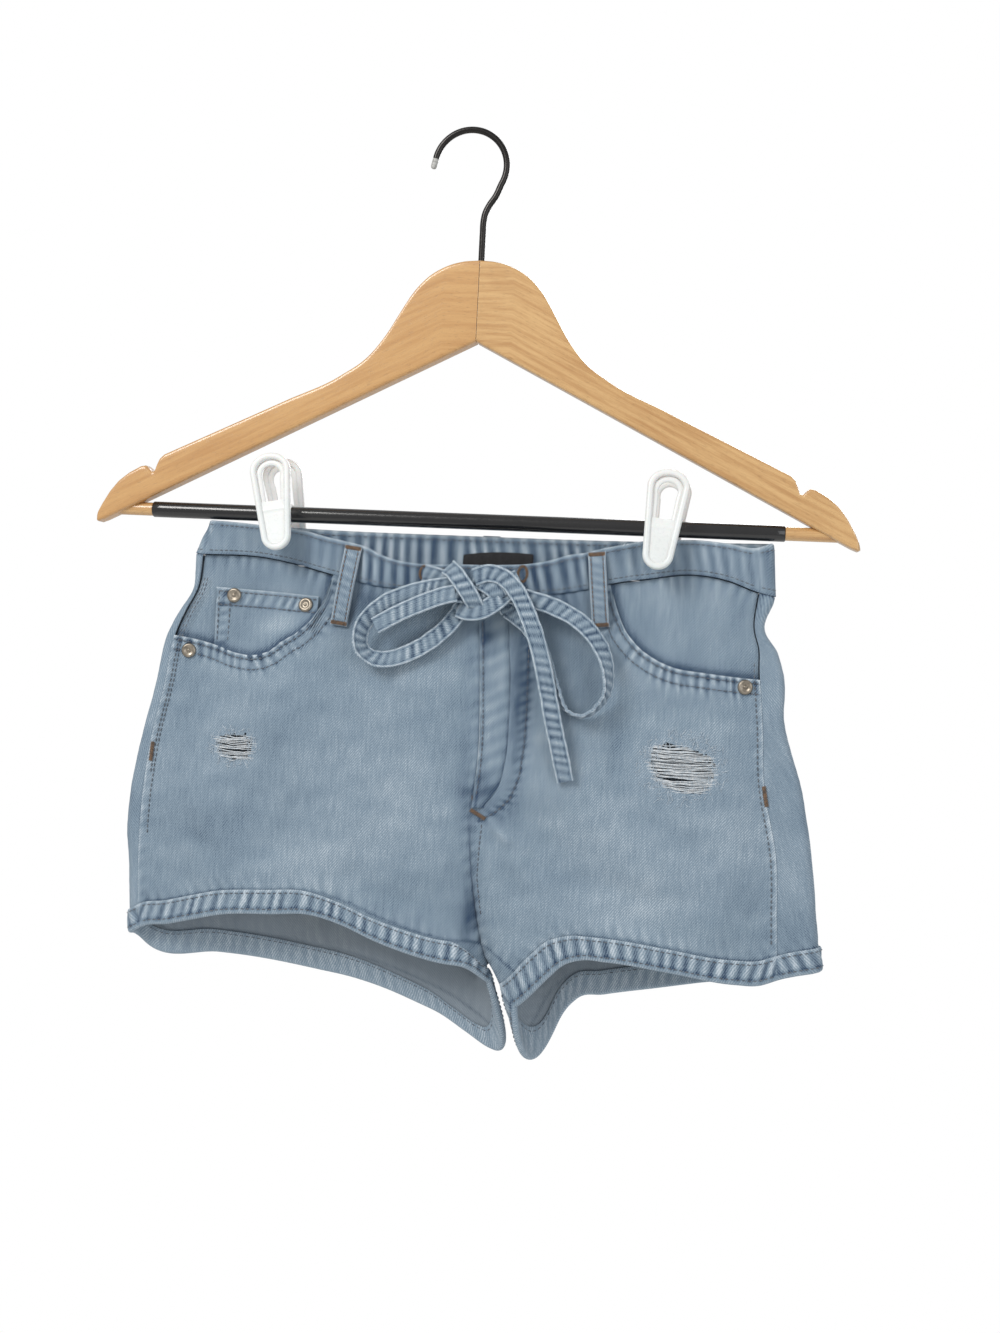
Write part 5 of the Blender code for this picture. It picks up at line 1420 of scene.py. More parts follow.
def make_waistbands():
    """Both bands, gathered, each one strip from side seam to side seam."""
    for face in ("front", "back"):
        s = np.linspace(0, 1, 180)
        u = np.concatenate([-s[::-1], s[1:]])
        h = np.concatenate([np.linspace(0.0, 0.9, 13), np.linspace(0.93, 1.0, 5)])
        grid_u = np.broadcast_to(u[:, None], (len(u), len(h)))
        grid_h = np.broadcast_to(h[None, :], grid_u.shape)
        points, out, wear_and_shade = band_surface(face, grid_u, grid_h)
        thick = BAND * rounded((1 - grid_h) * 18, 1.2) * rounded((1.004 - np.abs(grid_u)) * 170, 1.0)
        piece = shell(f"waistband_{face}_gathered", points, out, thick, ["denim"],
                      cloth_uv(points), wear_and_shade)
        dress(piece, "denim", f"waistband_{face}")


def make_facings():
    """The hip pieces that show inside the pocket mouths."""
    for side, word in ((-1, "left"), (1, "right")):
        mouth_x = POCKET_MOUTH[side]["x"][-1 if side < 0 else 0]
        first = float(find("front", side, mouth_x - side * 14, -264.0)[0])
        s = np.linspace(first, 0.996, 90)
        bottom = mouth_level(side, s)
        bottom = np.maximum(bottom, bottom.max() * smooth((s - first) / 0.12)) + FACING_BELOW / DROP
        v = 0.003 + bottom[:, None] * np.linspace(0, 1, 60)
        grid_s = np.broadcast_to(s[:, None], v.shape)
        plain, out = panel("front", side, grid_s, v), normal("front", side, grid_s, v)
        x, z = plain[..., 0], plain[..., 2]
        relief = 0.5 * creased(plain, False, CREASES) + 0.2 * unevenness(x, z, 22, 71)
        along, off = beside(x, z, line_of(WAIST_FRONT))
        rib = ribs(along, 7.0, 72 + side)
        relief += 0.35 * rib * np.exp(-((off / 11) ** 2))
        # Ribs along the waist seam paler on crests and darker between, wear and painted light together;
        # darker right beside the pocket mouth, the painted shadow of the front panel's edge, and paler
        # further down.
        wear_and_shade = 0.43 + 0.07 * unevenness(x, z, 40, 73) + 0.14 * rib * np.exp(-((off / 9) ** 2))
        off = beside(x, z, line_of(POCKET_MOUTH[side]))[1]
        wear_and_shade -= 0.30 * np.exp(-(((off - 0.5) / 3.2) ** 2)) - 0.10 * np.exp(-(((off - 22) / 16) ** 2))
        points = plain + out * (relief - DENIM - 3 * GAP)[..., None]
        piece = shell(f"hip_facing_{word}", points, out, DENIM, ["denim"], cloth_uv(points), wear_and_shade)
        dress(piece, "facing_denim", f"facing_{word}")


def make_coin_pocket():
    """A small pocket on the left facing: folded top edge with two stitch rows, its left
    edge folded, and slightly baggy."""
    x = np.linspace(-146.5, -84.2, 64)
    top = ease(x, COIN_TOP["x"], COIN_TOP["z"])
    bottom = ease(x, POCKET_MOUTH[-1]["x"], POCKET_MOUTH[-1]["z"]) - 1.5
    z = top[:, None] + (bottom - top)[:, None] * np.linspace(0, 1, 44)
    grid_x = np.broadcast_to(x[:, None], z.shape)
    s, v = find("front", -1, grid_x, z)
    plain, out = panel("front", -1, s, v), normal("front", -1, s, v)
    down, from_left = top[:, None] - z, grid_x - x[0]
    rib = ribs(grid_x + 0.4 * down, 6.0, 81)
    relief = 0.45 * rib * np.exp(-(((down - 6) / 4) ** 2)) + 0.3 * unevenness(grid_x, z, 18, 82)
    side_rib = ribs(down + 0.3 * from_left, 6.0, 84)
    relief += 0.3 * side_rib * np.exp(-(((from_left - 5) / 3) ** 2))
    fold, pale = raised_edge(down, 2.2, 0.45, 0.32)
    side_fold, side_pale = raised_edge(from_left, 2.2, 0.35, 0.22)
    relief += fold + side_fold
    # Ribs paler on crests and darker between, wear and painted light together; a painted shade line along
    # the lower stitch row, and painted shadow along the foot under the mouth's edge.
    wear_and_shade = 0.45 + pale + side_pale + 0.24 * rib * np.exp(-(((down - 6) / 4) ** 2))
    wear_and_shade += 0.06 * unevenness(grid_x, z, 24, 83) - 0.18 * np.exp(-(((down - 10) / 0.9) ** 2))
    wear_and_shade += 0.16 * side_rib * np.exp(-(((from_left - 5) / 3) ** 2))
    wear_and_shade += 0.10 * np.exp(-(((grid_x + 112) / 18) ** 2) - (((z + 288) / 8) ** 2))
    wear_and_shade -= 0.34 * np.exp(-(((z - bottom[:, None] - 1.5) / 3.5) ** 2))
    thick = (DENIM + 0.3) * rounded(down, 0.9) * rounded(from_left, 0.9)
    points = plain + out * (relief * 0.8 - 0.15)[..., None]
    piece = shell("coin_pocket_patch", points, out, thick, ["denim"], cloth_uv(points), wear_and_shade)
    dress(piece, "denim", "coin_pocket")


def make_fly():
    """The strip beside the centre seam, its left edge folded bright, narrowing to its foot."""
    z = np.linspace(-266, -389, 110)
    seam = ease(-z, -CENTRE_FRONT["z"], CENTRE_FRONT["x"]) - 0.6
    edge = ease(z, FLY_EDGE["z"], FLY_EDGE["x"])
    share = np.linspace(0, 1, 26)
    x = seam[:, None] + (edge - seam)[:, None] * share
    grid_z = np.broadcast_to(z[:, None], x.shape)
    s, v = find("front", 1, x, grid_z)
    s = np.maximum(s, 0.004)
    points, out, _ = surface("front", 1, s, v)
    left, right = x - seam[:, None], edge[:, None] - x
    rib = ribs(-grid_z + 0.5 * left, 9.0, 91)
    fold, pale = raised_edge(left, 2.0, 0.5, 0.42)
    relief = fold + 0.22 * rib * np.exp(-((left / 5) ** 2)) + 0.15 * unevenness(x, grid_z, 16, 92)
    # Folded edge paler; painted shade lines along the stitch groove and along the lap's sunk right edge, a
    # painted shadow under the knot, and darker towards the foot.
    wear_and_shade = 0.52 + pale + 0.10 * rib - 0.22 * np.exp(-(((left - 3.4) / 0.9) ** 2))
    wear_and_shade += 0.07 * unevenness(x, grid_z, 26, 93) - 0.20 * np.exp(-((right / 2.2) ** 2))
    wear_and_shade -= 0.26 * np.exp(-(((grid_z + 292) / 9) ** 2) - (((x - 17) / 5) ** 2))
    wear_and_shade -= 0.24 * smooth((-grid_z - 362) / 18)
    thick = (DENIM + 0.2) * rounded(left, 0.9) * rounded(right, 0.9)
    points = points + out * (relief + DENIM + 0.1 - 0.9 * smooth(1 - right / 3.5))[..., None]
    piece = shell("fly_lap", points, out, thick, ["denim"], cloth_uv(points), wear_and_shade)
    dress(piece, "denim", "fly_strip")


def front_surface_y(x, z):
    """y of the outermost cloth at points (x, z) of one side of the front, band or panel."""
    side = -1 if x[0] < BAND_MIDDLE_X else 1
    seam_z = ease(x, WAIST_FRONT["x"], WAIST_FRONT["z"])
    s, v = find("front", side, x, np.minimum(z, seam_z - 0.5))
    y = panel("front", side, s, v)[..., 1]
    return y - np.where(z > seam_z - 1.5, BAND / 2, DENIM / 2)


LOOP_PATHS = {}


def loop_path(word):
    """The middle of a belt loop: sewn flat at both ends and standing off between them."""
    if word in LOOP_PATHS:
        return LOOP_PATHS[word]
    t = np.linspace(0, 1, 60)
    if word == "back":
        z = -233.5 - 40.0 * t
        base = np.where(z > -256, BAND / 2 + 5.3, DENIM / 2 + 5.0 + (-256 - z) * 0.09)
        y = np.maximum(base, base[0]) + GAP + DENIM / 2 + 0.7 + 1.6 * np.sin(math.pi * t)
        path = np.stack([np.full_like(t, 13.0), y, z], -1)
    else:
        x0, z0, x1, z1 = next(row[1:] for row in FRONT_LOOPS if row[0] == word)
        x, z = x0 + (x1 - x0) * t, z0 + (z1 - z0) * t
        base = front_surface_y(x, z)
        ridge = np.minimum(base, base[0] + (base[-1] - base[0]) * t)
        path = np.stack([x, ridge - GAP - DENIM / 2 - 0.9 - 1.6 * np.sin(math.pi * t), z], -1)
    LOOP_PATHS[word] = path
    return path


def loop_points(word, across, lift=0.0):
    """A line along a belt loop, this far across and out from its middle, and its normals."""
    path = loop_path(word)
    facing = np.array([0.0, 1.0 if word == "back" else -1.0, 0.0])
    _, out, side = frames(path, facing)
    return path + side * across + out * lift, out


def make_loops():
    """Belt loops: thick folded edges, a groove inside each, and ribs between."""
    for word in ("left", "right", "back"):
        a = np.linspace(-1, 1, 17)
        rows = [loop_points(word, LOOP_WIDTH / 2 * share) for share in a]
        points = np.stack([r[0] for r in rows], 1)
        out = np.stack([r[1] for r in rows], 1)
        t = np.linspace(0, 1, len(points))[:, None]
        rib = ribs(46 * t + 1.5 * a, 5.0, 101 + len(word))
        relief = 0.35 * np.exp(-(((np.abs(a) - 0.86) / 0.13) ** 2)) + 0.10 * rib * (1 - a**2)
        # Paler edges and rib crests, a darker groove inside each edge: wear and painted light and shade
        # together.
        wear_and_shade = 0.50 + 0.30 * np.exp(-(((np.abs(a) - 0.93) / 0.10) ** 2)) + 0.12 * rib * (1 - a**2)
        wear_and_shade = wear_and_shade - 0.22 * np.exp(-(((np.abs(a) - 0.66) / 0.10) ** 2)) + 0 * t
        wear_and_shade += 0.16 * np.exp(-(((t - 0.04) / 0.03) ** 2)) + 0.10 * np.exp(-(((t - 0.97) / 0.03) ** 2))
        thick = 1.3 * rounded((1 - np.abs(a)) * 5, 0.8) * rounded(np.minimum(t, 1 - t) * 46, 0.8)
        points = points + out * relief[..., None]
        uv = np.stack([a * 5 + 0 * t, -46 * t + 0 * a], -1) / 100
        piece = shell(f"belt_loop_{word}", points, out, thick, ["denim"], uv, wear_and_shade)
        dress(piece, "denim", f"loop_{word}")


def make_label():
    """A blank black woven label inside the back waistband, its edges turned in."""
    u = np.linspace(-0.115, 0.19, 50)
    x = band_point("back", u, 0.5 + 0 * u)[:, 0]
    top = 0.60 - 0.12 * ((x - 25) / 30) ** 2
    share = np.linspace(1, 0.08, 18)
    h = top[:, None] * share
    grid_u = np.broadcast_to(u[:, None], h.shape)
    points, out, _ = band_surface("back", grid_u, h)
    smoothed = band_point("back", grid_u, h)
    points = smoothed + 0.35 * (points - smoothed) - out * (BAND / 2 + 1.1)
    edge = np.minimum(np.minimum(share[None, :] * 0 + 1 - share, share - 0.08) * 12,
                      (np.minimum(u - u[0], u[-1] - u) * 150)[:, None])
    thick = 0.7 * rounded(edge, 0.5)
    uv = np.stack([grid_u * 170, h * 18], -1) / 100
    piece = shell("waist_label_blank", points, out, thick, ["label"], uv, 0 * h)
    dress(piece, "label", "waist_label")


# ---------------------------------------------------------------------- stitches and frays
def capsule(sides=6):
    """A short rounded stitch along the first axis, from -1 to 1, as rings and two tips."""
    rings = [(-0.92, 0.45), (-0.6, 0.92), (0.0, 1.0), (0.6, 0.92), (0.92, 0.45)]
    turn = circle(sides)
    points = [(a, r * c, r * s) for a, r in rings for c, s in turn] + [(-1, 0, 0), (1, 0, 0)]
    k = np.arange(sides)
    last, tip = 4 * sides, 5 * sides
    faces = [grid_faces(5, sides, round_columns=True)]
    caps = [np.stack([k, (k + 1) % sides, np.full(sides, tip)], -1),
            np.stack([k + last, np.full(sides, tip + 1), (k + 1) % sides + last], -1)]
    return np.array(points, float), faces[0][:, ::-1], np.concatenate(caps)


CAPSULE = capsule()


def stitch_many(middles, along, out, long, thick):
    """One capsule at each middle: half its length along, half its thickness across."""
    points, quads, caps = CAPSULE
    across = np.cross(along, out)
    long, thick = np.broadcast_to(long, len(middles)), np.broadcast_to(thick, len(middles))
    arched = 1 - 0.9 * points[:, 0] ** 2
    local = along[:, None] * (points[:, 0] * long[:, None])[..., None]
    local = local + across[:, None] * (points[:, 1] * thick[:, None])[..., None]
    local = local + out[:, None] * ((points[:, 2] + 0.7 * arched - 0.2) * thick[:, None])[..., None]
    shift = (np.arange(len(middles)) * len(points))[:, None, None]
    made = (middles[:, None] + local).reshape(-1, 3)
    return made, [(quads + shift).reshape(-1, 4), (caps + shift).reshape(-1, 3)]


def run_of(points, out, pitch=3.0, long=1.12, thick=0.30, seed=0):
    """A row of stitches along a route of points, with its normals."""
    count = max(2, int(np.linalg.norm(np.diff(points, axis=0), axis=-1).sum() / pitch))
    steps = np.linalg.norm(np.diff(points, axis=0), axis=-1)
    length = np.concatenate([[0], np.cumsum(steps)])
    at = (np.arange(count) + 0.5) * length[-1] / count
    both = np.concatenate([points, out], -1)
    ends = [np.stack([np.interp(at + d, length, c) for c in both.T], -1) for d in (-long, long)]
    middles, normals = (ends[0] + ends[1])[:, :3] / 2, (ends[0] + ends[1])[:, 3:]
    normals /= np.linalg.norm(normals, axis=-1, keepdims=True)
    along = (ends[1] - ends[0])[:, :3]
    half = np.linalg.norm(along, axis=-1, keepdims=True) / 2
    along = along / np.maximum(half * 2, 1e-6)
    return stitch_many(middles, along, normals, long, thick * (1 + 0.12 * wobble(at, 9, seed)))


def bar_of(points, out, wide=1.3, pitch=0.62, thick=0.34):
    """A bartack: stitches side by side across a short route."""
    line = along_path(np.concatenate([points, out], -1), pitch=None, count=max(4, int(
        np.linalg.norm(points[-1] - points[0]) / pitch)))
    middles, normals = line[:, :3], line[:, 3:] / np.linalg.norm(line[:, 3:], axis=-1, keepdims=True)
    along = np.gradient(middles, axis=0)
    along /= np.linalg.norm(along, axis=-1, keepdims=True)
    across = np.cross(along, normals)
    return stitch_many(middles, across, normals, wide, thick)


def route(face, side, rows, lift, count=90):
    """A route over a dressed panel from (x, z) points."""
    line = along_path(np.array(rows, float), count)
    return on_panel(face, side, line[:, 0], line[:, 1], lift)


def band_route(face, h, u0=-0.985, u1=0.985, out_lift=BAND / 2, inside=False):
    """A route along a waistband at a share h of its height, outside or inside."""
    u = np.linspace(u0, u1, 260)
    points, out, _ = band_surface(face, u, h + 0 * u)
    if inside:
        out = -out
    return points + out * out_lift, out


def hem_route(face, side, h, lift, u0=0.01, u1=0.99):
    """A route along a hem band at a share h of its height."""
    s = np.linspace(u0, u1, 220)
    length = np.linalg.norm(panel(face, side, s, 1 + 0 * s) - panel(face, side, s, 0 * s), axis=-1)
    v = 1 - (1 - h) * HEM_HEIGHT / length
    out = normal(face, side, s, v)
    return panel(face, side, s, v) + out * lift, out


def thread_piece(name, finish_name, parts, *nodes):
    """Stitches or threads as one piece."""
    points, faces = joined(parts)
    return dress(build(name, points, faces, [finish_name]), "denim", *nodes)


def make_stitches():
    """Grey top-stitching along the seams, folded edges, bands and belt loops."""
    rows, tan = [], []
    top = DENIM / 2 + 0.1
    for side in (-1, 1):
        mouth = line_of(POCKET_MOUTH[side], count=120)[4:-6]
        for k, off in enumerate((-2.6, -8.4)):
            points, out = route("front", side, offset_line(mouth, off), top + (0.3 if k == 0 else 0))
            rows.append(run_of(points, out, 3.1, seed=k))
        for face in ("front", "back"):
            for h, lift in ((0.16, 2.15), (0.90, 2.1)):
                rows.append(run_of(*hem_route(face, side, h, lift), 3.2, seed=4))
            rows.append(run_of(*hem_route(face, side, 0.16, -1.95), 3.4, seed=5))
    for face in ("front", "back"):
        for h in (0.12, 0.87):
            rows.append(run_of(*band_route(face, h), 3.0, seed=6))
            rows.append(run_of(*band_route(face, h, inside=True), 3.2, seed=7))
    rows.append(run_of(*route("front", 1, J_STITCH, top), 3.0, seed=8))
    for by in (3.2, 4.9):
        side_line = seam_line("front", -1, 1.0)[3:30 if by < 4 else 38]
        rows.append(run_of(*route("front", -1, side_line + (by, 0), top + 0.2), 3.0, seed=9))
    side_line = seam_line("front", 1, 1.0)[9:46]
    rows.append(run_of(*route("front", 1, side_line - (3.0, 0), top + 0.2), 3.2, seed=10))
    rows.append(run_of(*route("front", 1, [(19.5, -398), (18.5, -415), (18, -430), (21, -450)], top), 3.0))
    back_seam = seam_line("back", -1, 0.0)[2:38]
    for by in (2.2, 5.0):
        rows.append(run_of(*route("back", -1, back_seam - (by, 0), top), 3.2, seed=11))
    x = np.linspace(-145, -85, 60)
    for down in (2.2, 10.0):
        z = ease(x, COIN_TOP["x"], COIN_TOP["z"]) - down
        rows.append(run_of(*on_panel("front", -1, x, z, 0.95), 3.0, seed=12))
    for right in (1.8, 8.6):
        rows.append(run_of(*route("front", -1, [(-146.5 + right, -272), (-146.5 + right, -302)], 0.95), 3.0))
    z = np.linspace(-284, -382, 80)
    x = ease(-z, -CENTRE_FRONT["z"], CENTRE_FRONT["x"]) + 2.4
    rows.append(run_of(*on_panel("front", 1, x, z, 2.1), 3.0, seed=13))
    thread_piece("top_stitching", "grey thread", rows)
    for word in ("left", "right", "back"):
        for share in (-0.68, 0.68):
            points, out = loop_points(word, LOOP_WIDTH / 2 * share, 0.75)
            tan.append(run_of(points[1:-1], out[1:-1], 2.6, long=1.0, seed=14))
        for end in (2, -3):
            points, out = zip(*[loop_points(word, a, 0.8) for a in np.linspace(-4.4, 4.4, 12)])
            tan.append(bar_of(np.array([p[end] for p in points]), np.array([o[end] for o in out])))
    tacks = (
        (-1, [(-179.8, -363.5), (-180.6, -374)]), (1, [(177.2, -368.5), (180.5, -379)]),
        (1, [(12.5, -383.5), (20.5, -383)]), (1, [(12.5, -390.5), (21, -395)]),
    )
    for side, ends in tacks:
        tan.append(bar_of(*route("front", side, ends, 1.3, 20)))
    for x, side in ((-21.5, -1), (35.0, 1)):
        turn = np.linspace(0, 2 * math.pi, 60)
        ux, h = (x + 2.6 * np.cos(turn)), 0.68 + 0.26 * np.sin(turn)
        u = np.interp(ux, *BAND_X)
        points, out, _ = band_surface("front", u, h)
        tan.append(bar_ring(points + out * (BAND / 2), out))
    tan.append(run_of(*route("front", 1, [(58, -468), (50, -476), (44, -484)], 1.2), 2.6, long=1.0))
    thread_piece("tan_stitching", "tobacco thread", tan)


def band_places():
    """x of the front band against u, for reading u at an x."""
    u = np.linspace(-0.98, 0.98, 120)
    return band_point("front", u, 0.6 + 0 * u)[:, 0], u


BAND_X = band_places()


def bar_ring(points, out, pitch=0.6):
    """Dense stitches round a closed route, as a buttonhole has."""
    line = along_path(np.concatenate([points, out], -1), count=int(
        np.linalg.norm(np.diff(points, axis=0), axis=-1).sum() / pitch))[:-1]
    middles, normals = line[:, :3], line[:, 3:] / np.linalg.norm(line[:, 3:], axis=-1, keepdims=True)
    along = np.roll(middles, -1, axis=0) - np.roll(middles, 1, axis=0)
    along /= np.linalg.norm(along, axis=-1, keepdims=True)
    return stitch_many(middles, np.cross(along, normals), normals, 0.95, 0.32)


def hair(paths, thick, sides=5):
    """Thin threads: each row of paths is one thread's points; tapered to its two ends."""
    count, steps = paths.shape[:2]
    along = np.gradient(paths, axis=1)
    along /= np.maximum(np.linalg.norm(along, axis=-1, keepdims=True), 1e-9)
    first = np.cross(along, (0.0, 1.0, 0.0))
    first /= np.maximum(np.linalg.norm(first, axis=-1, keepdims=True), 1e-9)
    second = np.cross(along, first)
    turn = circle(sides)
    taper = (0.35 + 0.65 * np.sin(np.linspace(0, math.pi, steps)) ** 0.4)[None, :, None, None]
    radius = np.asarray(thick)[:, None, None, None] * taper
    ring = first[:, :, None] * turn[:, :1] + second[:, :, None] * turn[:, 1:]
    points = paths[:, :, None] + ring * radius
    each = steps * sides
    shift = (np.arange(count) * each)[:, None, None]
    quads = grid_faces(steps, sides, round_columns=True)[None] + shift
    caps = np.stack([np.arange(sides)[::-1], np.arange(sides) + each - sides])[None] + shift
    return points.reshape(-1, 3), [quads.reshape(-1, 4), caps.reshape(-1, sides)]


def make_frays():
    """Rips: white weft threads left across each hole, sagging unevenly and fanning a little,
    and short blue and pale fuzz where the warp was worn off round it."""
    for side, word, count in ((-1, "left", 24), (1, "right", 64)):
        rip = RIPS[word]
        draw = np.random.default_rng(310 + side)
        low, high = rip["z"].min(), rip["z"].max()
        left, right = rip["x"].min(), rip["x"].max()
        z = np.linspace(low + 0.8, high - 0.8, count) + draw.normal(0, 0.35, count)
        test = np.linspace(left, right, 60)
        inside = within(np.broadcast_to(test, (count, 60)), np.broadcast_to(z[:, None], (count, 60)), rip)
        begin = np.where(inside.any(-1), test[inside.argmax(-1)], left) - draw.uniform(1.5, 4.5, count)
        end_at = test[59 - inside[:, ::-1].argmax(-1)] + draw.uniform(1.5, 4.5, count)
        end_at = np.where(inside.any(-1), end_at, begin + 10)
        t = np.linspace(0, 1, 22)[None, :]
        x = begin[:, None] + (end_at - begin)[:, None] * t
        sag = draw.uniform(0.2, 2.0, count)[:, None] * np.sin(math.pi * t)
        lean = draw.normal(0, 0.5, count)[:, None] * (t - 0.5) * 2
        drop = z[:, None] - sag * 0.8 + lean + 0.25 * unevenness(x, z[:, None] + 0 * x, 7, 320)
        base, out = on_panel("front", side, x, drop, 0.45)
        lift = draw.uniform(-0.5, 1.1, count)[:, None] * np.sin(math.pi * t) ** 0.7
        points, faces = hair(base + out * lift[..., None], draw.uniform(0.16, 0.30, count))
        thread_piece(f"rip_weft_{word}", "white weft", [(points, faces)])
        fuzz = 130 if side < 0 else 240
        turn = draw.uniform(0, 2 * math.pi, fuzz)
        cx, cz = (left + right) / 2, (low + high) / 2
        reach = draw.uniform(0.80, 1.45, fuzz)
        fx = cx + (right - left) / 2 * reach * np.cos(turn)
        fz = cz + (high - low) / 2 * reach * np.sin(turn) * 1.15
        heading = np.where(draw.uniform(size=fuzz) < 0.6, math.pi / 2, 0.15) + draw.normal(0, 0.35, fuzz)
        long = draw.uniform(1.5, 5.5, fuzz)
        t = np.linspace(-0.5, 0.5, 7)[None, :]
        bend = draw.normal(0, 0.6, fuzz)[:, None] * (t**2 - 0.1) * 4
        x = fx[:, None] + long[:, None] * t * np.cos(heading)[:, None] - bend * np.sin(heading)[:, None]
        z = fz[:, None] + long[:, None] * t * np.sin(heading)[:, None] + bend * np.cos(heading)[:, None]
        base, out = on_panel("front", side, x, z, 0.62)
        loft = draw.uniform(0.0, 0.9, fuzz)[:, None] * (t + 0.5)
        thread_piece(f"rip_fuzz_{word}", "blue fuzz",
                     [hair(base + out * loft[..., None], draw.uniform(0.10, 0.20, fuzz), 4)])


def lathe(centre, axis, profile, sides=40):
    """A profile of (radius, height) turned about an axis through a centre."""
    axis = np.asarray(axis, float) / np.linalg.norm(axis)
    first = np.cross(axis, (0.0, 0.3, 1.0))
    first /= np.linalg.norm(first)
    second = np.cross(axis, first)
    radius, height = np.array(profile, float).T
    turn = circle(sides)
    ring = first * turn[:, :1] + second * turn[:, 1:]
    points = np.asarray(centre) + axis * height[:, None, None] + ring * radius[:, None, None]
    return points.reshape(-1, 3), [grid_faces(len(profile), sides, round_columns=True)]


def make_rivets():
    """Domed rings with a raised nub, on the coin pocket and the mouths' ends."""
    profile = [(0.001, 1.05), (0.5, 1.04), (0.95, 0.85), (1.15, 0.55), (1.5, 0.52), (2.0, 0.66),
               (2.5, 1.0), (3.0, 1.16), (3.5, 1.05), (3.95, 0.72), (4.2, 0.32), (4.3, 0.0),
               (4.1, -0.25), (0.001, -0.25)]
    for word, side, x, z in RIVETS:
        s, v = find("front", side, x, z)
        out = normal("front", side, s, v)
        at = panel("front", side, s, v) + out * (DENIM / 2 + GAP + 0.45)
        points, faces = lathe(at, out, profile)
        dress(build(f"rivet_{word}_dome", points, faces, ["antique rivet"], sharp=50), "rivet",
              f"rivet_{word}")


# ------------------------------------------------------------------------------ the hanger
SHOULDER_LINE = (SHOULDER["x"], SHOULDER["z"])
SHOULDER_LINE_END = (182.0, -194.0)


def make_hook():
    """The bent wire, from the bow's free end to the wood, and the pale cap on that end."""
    cx, cz = HOOK_CENTRE
    turns = np.radians(np.linspace(168, -28, 90))
    bow = np.stack([cx + HOOK_RADIUS * np.cos(turns), 0 * turns, cz + HOOK_RADIUS * np.sin(turns)], -1)
    bend = curve_through([tuple(bow[-1]), (6.2, 0, -38.9), (3.1, 0, -43.6), (0.9, 0, -48.4),
                          (0.1, 0, -53.0), (0, 0, -60.0), (0, 0, WOOD_TOP + 0.5)], 90)
    path = along_path(np.concatenate([bow, bend[1:]]), pitch=0.8)
    _, out, across = frames(path, (0.0, 1.0, 0.0))
    points, faces = swept(path, out, across, circle(28), WIRE_RADIUS, np.full(len(path), WIRE_RADIUS))
    dress(build("hook_wire", points, faces, ["hook steel"], sharp=50), "hook", "hook")
    tip = path[0] - (path[1] - path[0]) / np.linalg.norm(path[1] - path[0]) * 0.35
    beyond = (path[0] - path[1]) / np.linalg.norm(path[0] - path[1])
    profile = [(0.001, 0.0), (1.5, 0.0), (1.76, 0.3), (1.76, 2.2), (1.70, 2.35), (1.76, 2.5),
               (1.74, 4.6), (1.5, 5.4), (0.9, 5.9), (0.001, 6.0)]
    points, faces = lathe(tip, beyond, profile, 28)
    dress(build("hook_tip_cap", points, faces, ["tip cap"], sharp=50), "hook_tip", "hook_tip")


def arm_levels(x):
    """The top and the underside of an arm at distances from the shank."""
    notch = [(184.5, -196.5), (186.2, -200.5), (187.2, -203.8), (189.0, -204.4), (190.8, -202.4),
             (193.0, -200.8), (196.0, -201.4)]
    end = [(203, -205.4), (209, -210.3), (214, -216.6), (218.3, -224.0), (221.3, -230.5),
           (222.2, -233.9)]
    rest = np.array(notch + end, float)
    top = np.where(x <= 182.0, ease(x, *SHOULDER_LINE), 0.0)
    past = np.interp(x, *np.concatenate([[SHOULDER_LINE_END], rest]).T)
    top = np.where(x <= 182.0, top, past)
    low = np.interp(x, [0, 205.0, 217.0, 220.6, 222.2], [-123.5, -227.6, -233.6, -234.9, -234.0])
    return top, low


def make_arms():
    """Each arm as upright sections, rounded rectangles between its top and its underside,
    eased at the ends, with a line of grain along it."""
    x = np.concatenate([np.linspace(0, 182, 120)[:-1], np.linspace(182, 198, 34)[:-1],
                        222.2 - 24.2 * (1 - np.sin(np.linspace(0, math.pi / 2, 30))) ** 1.0])
    top, low = arm_levels(x)
    angle = np.linspace(0, 2 * math.pi, 56, endpoint=False)
    y = np.sign(np.cos(angle)) * np.abs(np.cos(angle)) ** 0.32
    up = np.sign(np.sin(angle)) * np.abs(np.sin(angle)) ** 0.32
    half = np.maximum((top - low) / 2, 0.02)
    corner = np.minimum(half, 6.0)
    deep = 6.0 * np.clip(half / 3.2, 0, 1) ** 0.45
    tall = (half - corner)[:, None] * np.sign(up) * (np.abs(up) > 0) + corner[:, None] * up
    for side, word in ((-1, "left"), (1, "right")):
        across = side * (x[:, None] + 0.15) + 0 * angle
        z = ((top + low) / 2)[:, None] + tall
        points = np.stack([across, deep[:, None] * y, z], -1)
        count, sides = points.shape[:2]
        k = np.arange(sides)
        last, tip = (count - 1) * sides, count * sides
        faces = [grid_faces(count, sides, round_columns=True)]
        faces.append(np.stack([k, np.full(sides, tip), (k + 1) % sides], -1))
        faces.append(np.stack([k + last, (k + 1) % sides + last, np.full(sides, tip + 1)], -1))
        ends = points[[0, -1]].mean(axis=1)
        every = np.concatenate([points.reshape(-1, 3), ends])
        slope = -0.50 * np.clip(x[:, None] - 20, 0, None) - 120
        uv = np.stack([across * 1.12, (z - slope) + 7 * y], -1).reshape(-1, 2) / 100
        uv = np.concatenate([uv, uv[[0, -1]]])
        # The left arm takes the darker copy of the wood: painted shade.
        piece = build(f"wood_arm_{word}", every, faces, [f"{word} wood"], uv, sharp=48)
        dress(piece, "wood", f"wood_{word}")


